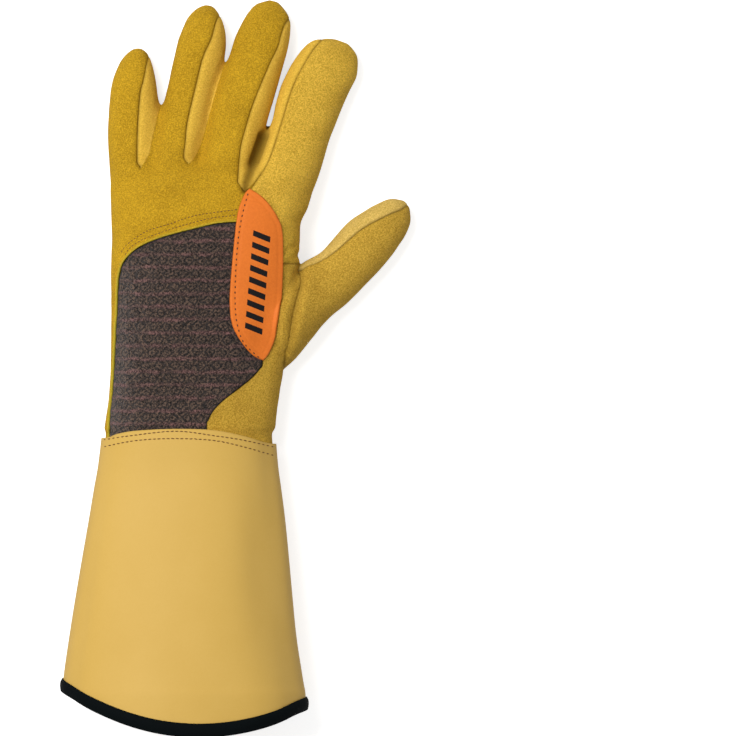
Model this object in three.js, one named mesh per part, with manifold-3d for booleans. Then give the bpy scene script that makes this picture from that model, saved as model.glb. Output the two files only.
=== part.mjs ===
// Rose pruning gauntlet for the left hand, lying on its palm with the back of the hand up.
// Millimetres: +X towards the thumb, +Y towards the fingertips, +Z up. The underside is flattened where it rests.
import * as THREE from 'three';
import Module from 'manifold-3d';

const wasm = await Module();
wasm.setup();

// Leather and clearances
const wall = 2;
const seamGap = 0.3;
const patchThickness = 1.4;
const tagThickness = 1;

// Hand, measured from the middle of the wrist seam
const palmWidth = 109;
const palmLength = 136;
const palmThickness = 48;
const frontSeamHeight = 7;

// Digits: length and place from the finger roots, lean in degrees towards the thumb
const digitSizes = {
  little: { length: 75, width: 28, thickness: 25, lean: 0, rootAcross: -0.38, rootAlong: 1 },
  ring: { length: 101, width: 27.5, thickness: 26, lean: 12.4, rootAcross: -0.21, rootAlong: 1 },
  middle: { length: 105, width: 31.5, thickness: 28, lean: 16, rootAcross: 0.047, rootAlong: 1 },
  index: { length: 85.5, width: 36, thickness: 29, lean: 20.3, rootAcross: 0.347, rootAlong: 1 },
  thumb: { length: 61, width: 33, thickness: 30, lean: 46.2, rootAcross: 0.57, rootAlong: 0.62 },
};

// Cuff, its lap over the hand, and its bound hem
const cuffLength = 163;
const hemWidth = 133;
const hemHeight = 76;
const hemRise = 25.5;
const cuffLap = 11;
const bindingHeight = 8;
const bindingThickness = 1.2;

// How a section is drawn: where its widest line lies and how square it is
const widestLine = 0.45;
const squareness = 2.3;
const handSides = 26;
const digitSides = 14;
const smallestHalf = 0.4;
const farAway = 500;

const cuffRestHeight = bindingThickness + seamGap;
const lapDepth = wall + seamGap;

function table(columns, ...lines) {
  const names = columns.split(' ');
  return lines.map((line) => Object.fromEntries(names.map((name, place) => [name, line[place]])));
}

// Shares of palm length, palm width and palm thickness
const palmSections = table('along left right high',
  [0.03, -0.53, 0.322, 1],
  [0.144, -0.51, 0.34, 0.97],
  [0.264, -0.502, 0.362, 0.95],
  [0.424, -0.5, 0.405, 0.95],
  [0.696, -0.498, 0.44, 1],
  [0.804, -0.495, 0.445, 1],
  [0.924, -0.5, 0.49, 0.93],
  [1.024, -0.5, 0.515, 0.8],
  [1.084, -0.48, 0.5, 0.62],
  [1.124, -0.43, 0.45, 0.42],
  [1.25, -0.34, 0.38, 0.15],
);

// Shares of cuff length, hem width and hem height, from the hem up to the wrist.
// Where the hand lies on the cuff's underside it is lifted by the cuff's thickness.
const cuffSections = table('along left right high handLift',
  [1.1, -0.609, 0.395, 1, 1],
  [0.886, -0.606, 0.393, 1, 1],
  [0.82, -0.604, 0.382, 0.98, 1],
  [0.685, -0.582, 0.357, 0.93, 1],
  [0.55, -0.557, 0.34, 0.87, 1],
  [0.416, -0.529, 0.324, 0.81, 1],
  [0.282, -0.5, 0.307, 0.75, 1],
  [0.176, -0.479, 0.291, 0.71, 1],
  [0.1, -0.463, 0.279, 0.68, 0],
  [-0.01, -0.447, 0.268, 0.662, 0],
);

// Long shallow dents: place and reach along the piece, place and spread round it in degrees,
// and depth as a share of the piece's height
function dentTable(height, ...lines) {
  return table('along reach turn spread depth', ...lines)
    .map((dent) => ({ ...dent, depth: dent.depth * height }));
}

const cuffDents = dentTable(hemHeight,
  [0.48, 0.34, 43, 17, 0.042],
  [0.3, 0.2, 118, 22, 0.018],
);
const palmDents = dentTable(palmThickness,
  [0.42, 0.2, 48, 13, 0.05],
  [0.98, 0.08, 96, 16, 0.033],
  [0.2, 0.12, 100, 24, 0.031],
);

// Shares of each digit's own length, width and thickness
const digitSections = {
  little: table('along left right low high',
    [-0.45, -0.44, 0.44, 0, 1.5],
    [0, -0.46, 0.46, 0, 1.28],
    [0.33, -0.52, 0.48, 0, 1.08],
    [0.55, -0.5, 0.51, 0, 1],
    [0.7, -0.46, 0.44, 0, 0.96],
    [0.81, -0.39, 0.39, 0.01, 0.89],
    [0.91, -0.27, 0.31, 0.05, 0.76],
    [0.97, -0.15, 0.21, 0.14, 0.62],
    [1, -0.02, 0.09, 0.26, 0.48],
  ),
  ring: table('along left right low high',
    [-0.35, -0.44, 0.44, 0, 1.5],
    [0, -0.46, 0.46, 0, 1.35],
    [0.25, -0.5, 0.49, 0, 1.12],
    [0.47, -0.49, 0.46, 0, 1.02],
    [0.7, -0.45, 0.52, 0, 0.97],
    [0.82, -0.44, 0.48, 0.01, 0.92],
    [0.915, -0.36, 0.36, 0.04, 0.8],
    [0.97, -0.23, 0.2, 0.14, 0.64],
    [1, -0.06, 0.06, 0.26, 0.48],
  ),
  middle: table('along left right low high',
    [-0.35, -0.42, 0.42, 0, 1.45],
    [0, -0.45, 0.45, 0, 1.32],
    [0.23, -0.49, 0.47, 0, 1.12],
    [0.46, -0.55, 0.48, 0, 1.03],
    [0.68, -0.49, 0.48, 0, 0.97],
    [0.79, -0.45, 0.46, 0.01, 0.92],
    [0.895, -0.37, 0.38, 0.04, 0.82],
    [0.955, -0.28, 0.24, 0.13, 0.66],
    [1, -0.07, 0.07, 0.26, 0.48],
  ),
  index: table('along left right low high',
    [-0.35, -0.4, 0.4, 0, 1.45],
    [0, -0.45, 0.47, 0, 1.3],
    [0.2, -0.48, 0.49, 0, 1.12],
    [0.38, -0.51, 0.46, 0, 1.04],
    [0.6, -0.51, 0.49, 0, 0.98],
    [0.74, -0.47, 0.515, 0, 0.94],
    [0.86, -0.4, 0.53, 0.03, 0.85],
    [0.93, -0.33, 0.44, 0.09, 0.74],
    [0.975, -0.24, 0.3, 0.17, 0.6],
    [1.005, -0.1, 0.16, 0.28, 0.48],
  ),
  thumb: table('along left right low high',
    [-0.94, -0.3, 0.56, 0, 1.3],
    [-0.68, -0.45, 0.58, 0, 1.36],
    [-0.46, -0.5, 0.53, 0, 1.28],
    [-0.2, -0.5, 0.48, 0, 1.14],
    [0, -0.46, 0.5, 0, 1.05],
    [0.18, -0.38, 0.5, 0, 1],
    [0.5, -0.44, 0.47, 0, 0.97],
    [0.7, -0.38, 0.41, 0.01, 0.9],
    [0.83, -0.31, 0.35, 0.04, 0.81],
    [0.93, -0.23, 0.25, 0.11, 0.68],
    [1, -0.05, 0.06, 0.28, 0.48],
  ),
};

function dentDepth(dents, along, turn) {
  return dents.reduce((sum, dent) => {
    const away = (along - dent.along) / dent.reach;
    const round = (THREE.MathUtils.radToDeg(turn) - dent.turn) / dent.spread;
    return sum + dent.depth * Math.exp(-away * away - round * round);
  }, 0);
}

function sectionRing(place, across, size, offset, sides, dents = []) {
  const middle = (size.left + size.right) / 2;
  const half = Math.max((size.right - size.left) / 2 + offset, smallestHalf);
  const centre = size.low + widestLine * (size.high - size.low);
  const rise = Math.max(size.high - centre + offset, smallestHalf);
  const lowest = Math.max(0, size.low - offset);
  const rounded = (value) => Math.sign(value) * Math.abs(value) ** (2 / squareness);
  const points = [];
  for (let side = 0; side < sides; side++) {
    const turn = (2 * Math.PI * side) / sides;
    const drawn = dentDepth(dents, size.along, turn);
    const sideways = middle + (half - drawn) * rounded(Math.cos(turn));
    const point = place.clone().addScaledVector(across, sideways);
    point.z = Math.max(lowest, centre + (rise - drawn) * rounded(Math.sin(turn)));
    points.push(point);
  }
  return points;
}

function toSolid(geometry) {
  const { position } = geometry.attributes;
  const corners = geometry.index ? geometry.index.array : [...Array(position.count).keys()];
  const mesh = new wasm.Mesh({
    numProp: 3,
    vertProperties: new Float32Array(position.array),
    triVerts: new Uint32Array(corners),
  });
  mesh.merge();
  return new wasm.Manifold(mesh);
}

// Rings run from the -Y end to the +Y end, and each end closes on its middle
function loft(rings) {
  const sides = rings[0].length;
  const points = rings.flat();
  const index = [];
  for (let row = 0; row + 1 < rings.length; row++) {
    for (let side = 0; side < sides; side++) {
      const next = (side + 1) % sides;
      const near = row * sides;
      const far = near + sides;
      index.push(near + side, far + side, far + next);
      index.push(near + side, far + next, near + next);
    }
  }
  const first = points.length;
  const last = first + 1;
  const end = first - sides;
  const middleOf = (ring) => ring.reduce((sum, point) => sum.add(point), new THREE.Vector3())
    .divideScalar(sides);
  points.push(middleOf(rings[0]), middleOf(rings.at(-1)));
  for (let side = 0; side < sides; side++) {
    const next = (side + 1) % sides;
    index.push(first, side, next);
    index.push(last, end + next, end + side);
  }
  const geometry = new THREE.BufferGeometry().setFromPoints(points);
  geometry.setIndex(index);
  return toSolid(geometry);
}

const rightwards = new THREE.Vector3(1, 0, 0);

function cuffRing(row, offset, low = cuffRestHeight) {
  const size = {
    along: row.along,
    left: row.left * hemWidth,
    right: row.right * hemWidth,
    low,
    high: row.high * hemHeight,
  };
  const place = new THREE.Vector3(0, -row.along * cuffLength, 0);
  return sectionRing(place, rightwards, size, offset, handSides, cuffDents);
}

function cuffForm(offset) {
  return loft(cuffSections.map((row) => cuffRing(row, offset)));
}

// The hand's end follows the inside of the cuff, then the palm's own sections follow
const tuckedRows = cuffSections.filter((row) => row.along < 0.4);

function palmForm(offset) {
  const tucked = tuckedRows.map((row) => {
    const low = row.handLift * cuffRestHeight - (1 - row.handLift) * lapDepth;
    return cuffRing(row, offset - lapDepth, low);
  });
  const open = palmSections.map((row) => {
    const size = {
      along: row.along,
      left: row.left * palmWidth,
      right: row.right * palmWidth,
      low: 0,
      high: row.high * palmThickness,
    };
    const place = new THREE.Vector3(0, row.along * palmLength, 0);
    return sectionRing(place, rightwards, size, offset, handSides, palmDents);
  });
  return loft([...tucked, ...open]);
}

function digitFrame(name) {
  const size = digitSizes[name];
  const lean = THREE.MathUtils.degToRad(size.lean);
  return {
    size,
    root: new THREE.Vector3(size.rootAcross * palmWidth, size.rootAlong * palmLength, 0),
    ahead: new THREE.Vector3(Math.sin(lean), Math.cos(lean), 0),
    across: new THREE.Vector3(Math.cos(lean), -Math.sin(lean), 0),
  };
}

function digitForm(name, offset) {
  const { size, root, ahead, across } = digitFrame(name);
  const stretch = size.length + offset;
  const rings = digitSections[name].map((row) => {
    const place = root.clone().addScaledVector(ahead, row.along * stretch);
    const section = {
      left: row.left * size.width,
      right: row.right * size.width,
      low: row.low * size.thickness,
      high: row.high * size.thickness,
    };
    return sectionRing(place, across, section, offset, digitSides);
  });
  return loft(rings);
}

function handForm(offset) {
  return Object.keys(digitSizes).reduce(
    (form, name) => form.add(digitForm(name, offset)),
    palmForm(offset),
  );
}

// Outline points: palm shares, or shares of one digit's length and width
const onPalm = (along, across) => new THREE.Vector2(across * palmWidth, along * palmLength);

function onDigit(name, along, across) {
  const { size, root, ahead, across: sideways } = digitFrame(name);
  const point = root.clone()
    .addScaledVector(ahead, along * size.length)
    .addScaledVector(sideways, across * size.width);
  return new THREE.Vector2(point.x, point.y);
}

const palmLine = (...pairs) => pairs.map(([along, across]) => onPalm(along, across));
const digitLine = (name, ...pairs) => pairs.map(([along, across]) => onDigit(name, along, across));

// Moves each side of a closed outline outwards by the same distance
function grown(outline, distance) {
  const turning = Math.sign(THREE.ShapeUtils.area(outline));
  const count = outline.length;
  return outline.map((point, place) => {
    const before = outline[(place + count - 1) % count];
    const after = outline[(place + 1) % count];
    const enter = point.clone().sub(before).normalize();
    const leave = after.clone().sub(point).normalize();
    const outward = new THREE.Vector2(enter.y + leave.y, -enter.x - leave.x).normalize();
    const spread = Math.max(0.5, outward.x * enter.y - outward.y * enter.x);
    return point.clone().addScaledVector(outward, (turning * distance) / spread);
  });
}

function prism(outline, low = -farAway, high = farAway) {
  const shape = new THREE.Shape(outline);
  const geometry = new THREE.ExtrudeGeometry(shape, { depth: high - low, bevelEnabled: false });
  geometry.translate(0, 0, low);
  return toSolid(geometry);
}

function everywhere(low, high) {
  const corner = farAway;
  const square = [[-corner, -corner], [corner, -corner], [corner, corner], [-corner, corner]];
  return prism(square.map(([x, y]) => new THREE.Vector2(x, y)), low, high);
}

function largest(solid) {
  return solid.decompose().reduce((best, piece) => (piece.volume() > best.volume() ? piece : best));
}

// Back of the hand
const knitOutline = palmLine(
  [0.859, 0.13], [0.853, 0.035], [0.832, -0.076], [0.79, -0.267], [0.737, -0.39],
  [0.652, -0.454], [0.454, -0.47], [0.186, -0.492], [0.072, -0.5], [-0.3, -0.52],
  [-0.3, -0.02], [0.03, -0.014], [0.102, 0.02], [0.148, 0.077], [0.193, 0.153], [0.278, 0.249],
  [0.45, 0.24], [0.696, 0.24], [0.8, 0.2], [0.86, 0.19],
);

const patchOutline = palmLine(
  [0.991, 0.197], [0.958, 0.259], [0.905, 0.316], [0.836, 0.355], [0.737, 0.362], [0.614, 0.359],
  [0.508, 0.35], [0.4, 0.325], [0.332, 0.292], [0.302, 0.263], [0.324, 0.21], [0.377, 0.154],
  [0.446, 0.11], [0.522, 0.098], [0.606, 0.101], [0.737, 0.115], [0.852, 0.13], [0.913, 0.144],
  [0.97, 0.173],
);

const wristWrapOutline = palmLine(
  [0.692, 0.23], [0.278, 0.235], [0.2, 0.1], [0.1, -0.03], [0.03, -0.06], [-0.3, -0.08], [-0.3, 0.8],
  [0.15, 0.5], [0.264, 0.372],
  [0.376, 0.397], [0.492, 0.42], [0.616, 0.45], [0.692, 0.47],
);

const thumbOutline = palmLine(
  [0.1, 0.42], [0.264, 0.37], [0.376, 0.395], [0.492, 0.418], [0.616, 0.448], [0.7, 0.45],
  [0.83, 0.52], [1, 0.62], [1.25, 0.9], [1, 1.5], [0.2, 1.5],
);

const indexOutline = [
  ...palmLine([0.99, 0.2], [0.86, 0.2], [0.69, 0.225], [0.69, 0.9]),
  ...digitLine('index', [0.4, 1], [1.1, 0.8], [1.1, -0.2], [0.935, -0.235], [0.84, -0.29], [0.64, -0.35],
    [0.38, -0.32], [0.13, -0.3], [-0.05, -0.38]),
];

// Each strip runs up the seam on the finger to its left and down the flank of the finger to its right
const fourchetteOutlines = {
  fourchette_little_ring: [
    ...digitLine('little', [0.14, 0.13], [0.2, 0.06], [0.33, 0.05], [0.51, 0.07], [0.7, 0.115], [0.78, 0.17],
      [0.92, 0.24], [1.05, 0.3]),
    ...digitLine('ring', [0.95, -0.8], [0.95, -0.36], [0.85, -0.39], [0.7, -0.4], [0.47, -0.44], [0.25, -0.45],
      [0.12, -0.45]),
  ],
  fourchette_ring_middle: [
    ...digitLine('ring', [0.145, 0.29], [0.18, 0.18], [0.26, 0.14], [0.37, 0.09], [0.59, 0.1], [0.73, 0.115],
      [0.84, 0.2], [0.97, 0.24], [1.05, 0.5]),
    ...digitLine('middle', [0.93, -0.6], [0.93, -0.3], [0.85, -0.37], [0.7, -0.44], [0.46, -0.5], [0.3, -0.47],
      [0.1, -0.47]),
  ],
  fourchette_middle_index: [
    ...digitLine('middle', [0.024, 0.44], [0.08, 0.26], [0.153, 0.21], [0.26, 0.157], [0.46, 0.165], [0.68, 0.24],
      [0.785, 0.3], [0.93, 0.32], [1.05, 0.6]),
    ...digitLine('index', [0.95, -0.6], [0.935, -0.24], [0.84, -0.29], [0.64, -0.35], [0.38, -0.32], [0.13, -0.3],
      [-0.02, -0.37]),
  ],
};

// Finger fronts that are sewn on at their roots
const frontOutlines = {
  ring_front: digitLine('ring', [-0.02, -0.46], [-0.1, -0.1], [0, 0.46], [0.5, 0.48], [1.1, 0.6], [1.1, -0.6],
    [0.5, -0.52]),
  middle_front: digitLine('middle', [-0.01, -0.45], [-0.01, 0.45], [0.5, 0.5], [1.1, 0.6], [1.1, -0.6],
    [0.5, -0.58]),
};

const thumbFlankOutline = digitLine('thumb', [-0.3, -0.62], [0, -0.36], [0.22, -0.245], [0.57, -0.2], [0.85, -0.05],
  [0.98, 0.03], [1.3, 0.1], [1.3, -1.2], [-0.3, -1.2]);

// Cuff edges: the curved top of each panel, and the hem that is cut round in its middle
const onCuffEdge = (along, across) => new THREE.Vector2(across * hemWidth, along * palmLength);
const backTopEdge = [[0, -0.7], [0.002, -0.435], [0.021, -0.3], [0.029, -0.14], [0.024, 0.016],
  [0.002, 0.134], [-0.04, 0.273], [-0.05, 0.6]].map(([along, across]) => onCuffEdge(along, across));
const frontTopEdge = [[-0.1, -0.7], [-0.1, -0.44], [-0.208, -0.36], [-0.212, -0.19], [-0.192, -0.03],
  [-0.16, 0.13], [-0.076, 0.275], [-0.07, 0.6]].map(([along, across]) => onCuffEdge(along, across));

const hemMiddle = -0.034 * hemWidth;
const hemSteps = 8;
const hemReach = 0.6;

function hemLine(shift) {
  const reach = hemWidth * hemReach;
  const points = [];
  for (let step = 0; step <= hemSteps; step++) {
    const share = (2 * step) / hemSteps - 1;
    const height = -cuffLength + bindingThickness + seamGap + hemRise * share * share + shift;
    points.push(new THREE.Vector2(hemMiddle + share * reach, height));
  }
  return points.reverse();
}

// The hand: a shell between its outer form and the same form drawn in by the leather's thickness
const handOuter = handForm(0);
const handShell = handOuter.subtract(handForm(-wall));
const grownEdge = (edge, distance) => edge.map((point) => new THREE.Vector2(point.x, point.y + distance));
const aboveEdge = (edge) => [
  ...edge,
  new THREE.Vector2(farAway, edge.at(-1).y),
  new THREE.Vector2(farAway, farAway),
  new THREE.Vector2(-farAway, farAway),
  new THREE.Vector2(-farAway, edge[0].y),
];

const seamTop = frontSeamHeight + seamGap / 2;
const seamBottom = frontSeamHeight - seamGap / 2;
const upperHand = handShell.intersect(prism(aboveEdge(grownEdge(backTopEdge, -cuffLap)), seamTop));
const lowerHand = handShell.intersect(prism(aboveEdge(grownEdge(frontTopEdge, -cuffLap)), -farAway, seamBottom));

const cutOutlines = [knitOutline, thumbOutline, wristWrapOutline, indexOutline, ...Object.values(fourchetteOutlines)];

// The knit ends at this share of the palm's height, so that the flank below it stays leather
const knitStart = 0.4;
const lowestOf = (outline) => (outline === knitOutline ? knitStart * palmThickness : -farAway);
const grownPrism = (outline) => prism(grown(outline, seamGap), lowestOf(outline) - seamGap);
const withoutFirst = (solid, outlines) => outlines.reduce(
  (rest, outline) => rest.subtract(grownPrism(outline)),
  solid,
);

function backPanel(outline) {
  const earlier = cutOutlines.slice(0, cutOutlines.indexOf(outline));
  return largest(withoutFirst(upperHand.intersect(prism(outline, lowestOf(outline))), earlier));
}

const pieces = {};
pieces.hand_back = largest(withoutFirst(upperHand, cutOutlines));
pieces.knit_panel = backPanel(knitOutline);
pieces.wrist_wrap = backPanel(wristWrapOutline);
pieces.index_back = backPanel(indexOutline);
for (const [name, outline] of Object.entries(fourchetteOutlines)) {
  pieces[name] = backPanel(outline);
}

// The thumb's front takes the underside and the flank that faces the index finger
const thumbShell = handShell.intersect(prism(thumbOutline));
const thumbFrontRegion = everywhere(-farAway, seamBottom).add(prism(thumbFlankOutline));
const thumbFrontGrown = everywhere(-farAway, seamTop).add(grownPrism(thumbFlankOutline));
pieces.thumb_front = largest(thumbShell.intersect(thumbFrontRegion));
pieces.thumb_back = largest(thumbShell.subtract(thumbFrontGrown));

const cutFronts = [];
for (const [name, outline] of Object.entries(frontOutlines)) {
  pieces[name] = largest(withoutFirst(lowerHand.intersect(prism(outline)), cutFronts));
  cutFronts.push(outline);
}
pieces.palm = largest(withoutFirst(lowerHand, [thumbOutline, ...cutFronts]));

// The patch is a layer laid over the back of the hand
const patchUnder = handForm(seamGap);
const patchLayer = handForm(seamGap + patchThickness).subtract(patchUnder);
const backOfHand = palmThickness / 3;
pieces.knuckle_patch = largest(patchLayer.intersect(prism(patchOutline, backOfHand)));

// The tag lies on the little-finger side, just above the cuff
const tagOutline = [[0.02, -0.459], [0.02, -0.357], [-0.13, -0.357], [-0.13, -0.459]]
  .map(([along, across]) => onCuffEdge(along, across));
const tagLayer = handForm(seamGap + tagThickness).subtract(patchUnder);
pieces.side_tag = largest(tagLayer.intersect(prism(tagOutline, -farAway, frontSeamHeight - seamGap)));

// Cuff: a shell of its own that laps over the hand, split at two seams on its underside
const cuffOuter = cuffForm(0);
const belowEdge = (edge, hem) => [...edge, ...hem];
const cuffShell = cuffOuter.subtract(cuffForm(-wall)).subtract(handForm(seamGap));
const cuffCut = cuffShell.intersect(
  prism(belowEdge(backTopEdge, hemLine(0)), frontSeamHeight)
    .add(prism(belowEdge(frontTopEdge, hemLine(0)), -farAway, frontSeamHeight)),
);
const onCuff = (along, across) => new THREE.Vector2(across * hemWidth, -along * cuffLength);
const pastWrist = -0.3;
const pastHem = 1.2;
const cuffFrontOutline = [
  onCuff(pastWrist, -0.43), onCuff(0.18, -0.42), onCuff(0.6, -0.44), onCuff(pastHem, -0.455),
  onCuff(pastHem, 0.25), onCuff(0.6, 0.24), onCuff(0.18, 0.22), onCuff(pastWrist, 0.2),
];
const cuffMiddle = hemHeight / 4;
pieces.cuff_front = largest(cuffCut.intersect(prism(cuffFrontOutline, -farAway, cuffMiddle)));
pieces.cuff_back = largest(cuffCut.subtract(prism(grown(cuffFrontOutline, seamGap), -farAway, cuffMiddle)));

// Hem binding: a channel that holds the edge of both cuff panels
const bindingReach = seamGap + bindingThickness;
const channelBlank = cuffForm(bindingReach).subtract(cuffForm(-wall - bindingReach));
const channelRoom = cuffForm(seamGap).subtract(cuffForm(-wall - seamGap));
const hemBand = (top, bottom) => prism([...hemLine(top).reverse(), ...hemLine(bottom)]);
pieces.hem_binding = largest(
  channelBlank.intersect(hemBand(bindingHeight - bindingReach, -bindingReach))
    .subtract(channelRoom.intersect(hemBand(farAway / 2, -seamGap))),
);

const finishes = {
  ochreSuede: { color: 0xc89b34, roughness: 0.95 },
  tanSuede: { color: 0xd6af50, roughness: 0.95 },
  paleSuede: { color: 0xd7aa4b, roughness: 0.95 },
  palmSuede: { color: 0xcdb446, roughness: 0.95 },
  knit: { color: 0x46373a, roughness: 0.9 },
  orangeRubber: { color: 0xec7028, roughness: 0.6 },
  cuffLeather: { color: 0xdeb662, roughness: 0.55 },
  blackBinding: { color: 0x0c1214, roughness: 0.6 },
  orangeWeave: { color: 0xd9662a, roughness: 0.9 },
};

const finishOf = {
  hand_back: 'ochreSuede',
  index_back: 'tanSuede',
  wrist_wrap: 'tanSuede',
  thumb_back: 'tanSuede',
  thumb_front: 'palmSuede',
  palm: 'palmSuede',
  ring_front: 'palmSuede',
  middle_front: 'palmSuede',
  fourchette_little_ring: 'paleSuede',
  fourchette_ring_middle: 'paleSuede',
  fourchette_middle_index: 'paleSuede',
  knit_panel: 'knit',
  knuckle_patch: 'orangeRubber',
  cuff_back: 'cuffLeather',
  cuff_front: 'cuffLeather',
  hem_binding: 'blackBinding',
  side_tag: 'orangeWeave',
};

function toMesh(name, solid) {
  const { vertProperties, triVerts } = solid.getMesh();
  const geometry = new THREE.BufferGeometry();
  geometry.setAttribute('position', new THREE.BufferAttribute(vertProperties, 3));
  geometry.setIndex(new THREE.BufferAttribute(triVerts, 1));
  const material = new THREE.MeshStandardMaterial({ ...finishes[finishOf[name]], metalness: 0 });
  const mesh = new THREE.Mesh(geometry, material);
  mesh.name = name;
  return mesh;
}

// The origin is under the middle of the whole gauntlet
const gauntlet = new THREE.Group();
for (const name of Object.keys(finishOf)) {
  gauntlet.add(toMesh(name, pieces[name]));
}
const extent = new THREE.Box3().setFromObject(gauntlet);
const middle = extent.getCenter(new THREE.Vector3());
gauntlet.position.set(-middle.x, -middle.y, -extent.min.z);
gauntlet.updateMatrixWorld(true);

export default gauntlet;
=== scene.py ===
import math
import random
from functools import partial

import bmesh
import bpy
import numpy as np
from mathutils import Matrix, Vector, noise
from mathutils.bvhtree import BVHTree
from mathutils.kdtree import KDTree


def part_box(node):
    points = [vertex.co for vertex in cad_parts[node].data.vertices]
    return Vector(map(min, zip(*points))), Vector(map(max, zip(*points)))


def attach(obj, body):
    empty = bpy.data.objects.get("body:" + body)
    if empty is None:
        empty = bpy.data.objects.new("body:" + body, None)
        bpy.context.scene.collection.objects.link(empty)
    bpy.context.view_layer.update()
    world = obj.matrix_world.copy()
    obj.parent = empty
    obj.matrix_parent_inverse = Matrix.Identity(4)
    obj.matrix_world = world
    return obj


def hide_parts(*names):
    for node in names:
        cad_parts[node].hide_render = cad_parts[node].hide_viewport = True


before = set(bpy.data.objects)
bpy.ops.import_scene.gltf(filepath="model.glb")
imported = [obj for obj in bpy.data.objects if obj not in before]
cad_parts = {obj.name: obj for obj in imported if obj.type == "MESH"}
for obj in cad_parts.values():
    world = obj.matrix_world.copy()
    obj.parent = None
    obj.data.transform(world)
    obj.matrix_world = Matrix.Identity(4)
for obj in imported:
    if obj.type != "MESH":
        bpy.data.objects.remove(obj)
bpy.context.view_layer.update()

random.seed(11)

MM = 0.001

# Leather, cloth and thread
LEATHER = 1.5 * MM
CUFF_LEATHER = 1.8 * MM
CUFF_WALL = 2.0 * MM
SEAM_GAP = 0.3 * MM
LAP_DEPTH = CUFF_WALL + SEAM_GAP
KNIT_RECESS = 1.2 * MM
PATCH_THICKNESS = 1.4 * MM
PATCH_RIM = 0.9 * MM

# Hand, measured from the middle of the wrist seam
PALM_WIDTH = 109 * MM
PALM_LENGTH = 136 * MM
PALM_THICKNESS = 48 * MM
FRONT_SEAM = 7 * MM

# Points closer than this count as one
HAIR = 0.01 * MM

# The knit ends at this share of the palm's height, so that the flank below it stays leather
KNIT_START = 0.4

# Cuff and hem
CUFF_LENGTH = 163 * MM
HEM_WIDTH = 133 * MM
HEM_HEIGHT = 76 * MM
HEM_RISE = 25.5 * MM
CUFF_LAP = 11 * MM
BINDING_HEIGHT = 8 * MM
BINDING_THICKNESS = 1.2 * MM
CUFF_REST = BINDING_THICKNESS + SEAM_GAP

# The hand's form goes on inside the cuff up to this share of the cuff's length
LAP_SHARE = 0.4

# How finely the forms are drawn
VOXEL = 1.0 * MM
CUFF_STEP = 1.5 * MM
WIDEST_LINE = 0.45
SQUARENESS = 2.3
LEAST_HALF = 0.4 * MM

# What smoothing takes off the sides and off the tips
SMOOTHED_SIDE = 0.35 * MM
SMOOTHED_TIP = 1.5 * MM
TIP_START = 0.85

# Points round the palm and round a digit, fine steps between a table's rows, and rounds of smoothing
PALM_SIDES = 96
DIGIT_SIDES = 64
FINE_STEPS = 5
PATCH_ROUNDS = 80

# The wrist seam's middle in the frame, from the patch's corner, which lies at these shares of the palm
PATCH_ACROSS = 0.098
PATCH_ALONG = 0.302
patch_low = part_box("knuckle_patch")[0]
ORIGIN = Vector((patch_low.x - PATCH_ACROSS * PALM_WIDTH, patch_low.y - PATCH_ALONG * PALM_LENGTH, 0))


def table(columns, *lines):
    names = columns.split()
    return [dict(zip(names, line)) for line in lines]


DIGITS = {
    "little": dict(length=75 * MM, width=28 * MM, thickness=25 * MM, lean=0, across=-0.38, along=1),
    "ring": dict(length=101 * MM, width=27.5 * MM, thickness=26 * MM, lean=12.4, across=-0.21, along=1),
    "middle": dict(length=105 * MM, width=31.5 * MM, thickness=28 * MM, lean=16, across=0.047, along=1),
    "index": dict(length=85.5 * MM, width=36 * MM, thickness=29 * MM, lean=20.3, across=0.347, along=1),
    "thumb": dict(length=61 * MM, width=33 * MM, thickness=30 * MM, lean=46.2, across=0.57, along=0.62),
}

# Shares of palm length, palm width and palm thickness
PALM_SECTIONS = table(
    "along left right high",
    (0.03, -0.53, 0.322, 1),
    (0.144, -0.51, 0.34, 0.97),
    (0.264, -0.502, 0.362, 0.95),
    (0.424, -0.5, 0.405, 0.95),
    (0.584, -0.5, 0.432, 0.97),
    (0.696, -0.498, 0.44, 1),
    (0.804, -0.495, 0.445, 1),
    (0.864, -0.498, 0.45, 0.97),
    (0.924, -0.5, 0.487, 0.93),
    (1.024, -0.5, 0.515, 0.8),
    (1.084, -0.48, 0.5, 0.62),
    (1.124, -0.43, 0.45, 0.42),
    (1.25, -0.34, 0.38, 0.15),
)

# Shares of cuff length, hem width and hem height; hand_lift is 1 where the hand lies on the cuff
CUFF_SECTIONS = table(
    "along left right high hand_lift",
    (-0.01, -0.447, 0.268, 0.662, 0),
    (0.1, -0.463, 0.279, 0.68, 0),
    (0.176, -0.479, 0.291, 0.71, 1),
    (0.282, -0.5, 0.307, 0.75, 1),
    (0.416, -0.529, 0.324, 0.81, 1),
    (0.55, -0.557, 0.34, 0.87, 1),
    (0.685, -0.582, 0.357, 0.93, 1),
    (0.82, -0.604, 0.382, 0.98, 1),
    (0.886, -0.606, 0.393, 1, 1),
    (1.1, -0.609, 0.395, 1, 1),
)

# Long shallow dents: place and reach along the piece, place and spread round it in degrees
CUFF_DENTS = table(
    "along reach turn spread depth",
    (0.48, 0.34, 43, 17, 3.2 * MM),
    (0.3, 0.2, 118, 22, 1.4 * MM),
)
PALM_DENTS = table(
    "along reach turn spread depth",
    (0.42, 0.2, 48, 13, 2.4 * MM),
    (0.98, 0.08, 96, 16, 1.6 * MM),
    (0.2, 0.12, 100, 24, 1.5 * MM),
)

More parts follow.
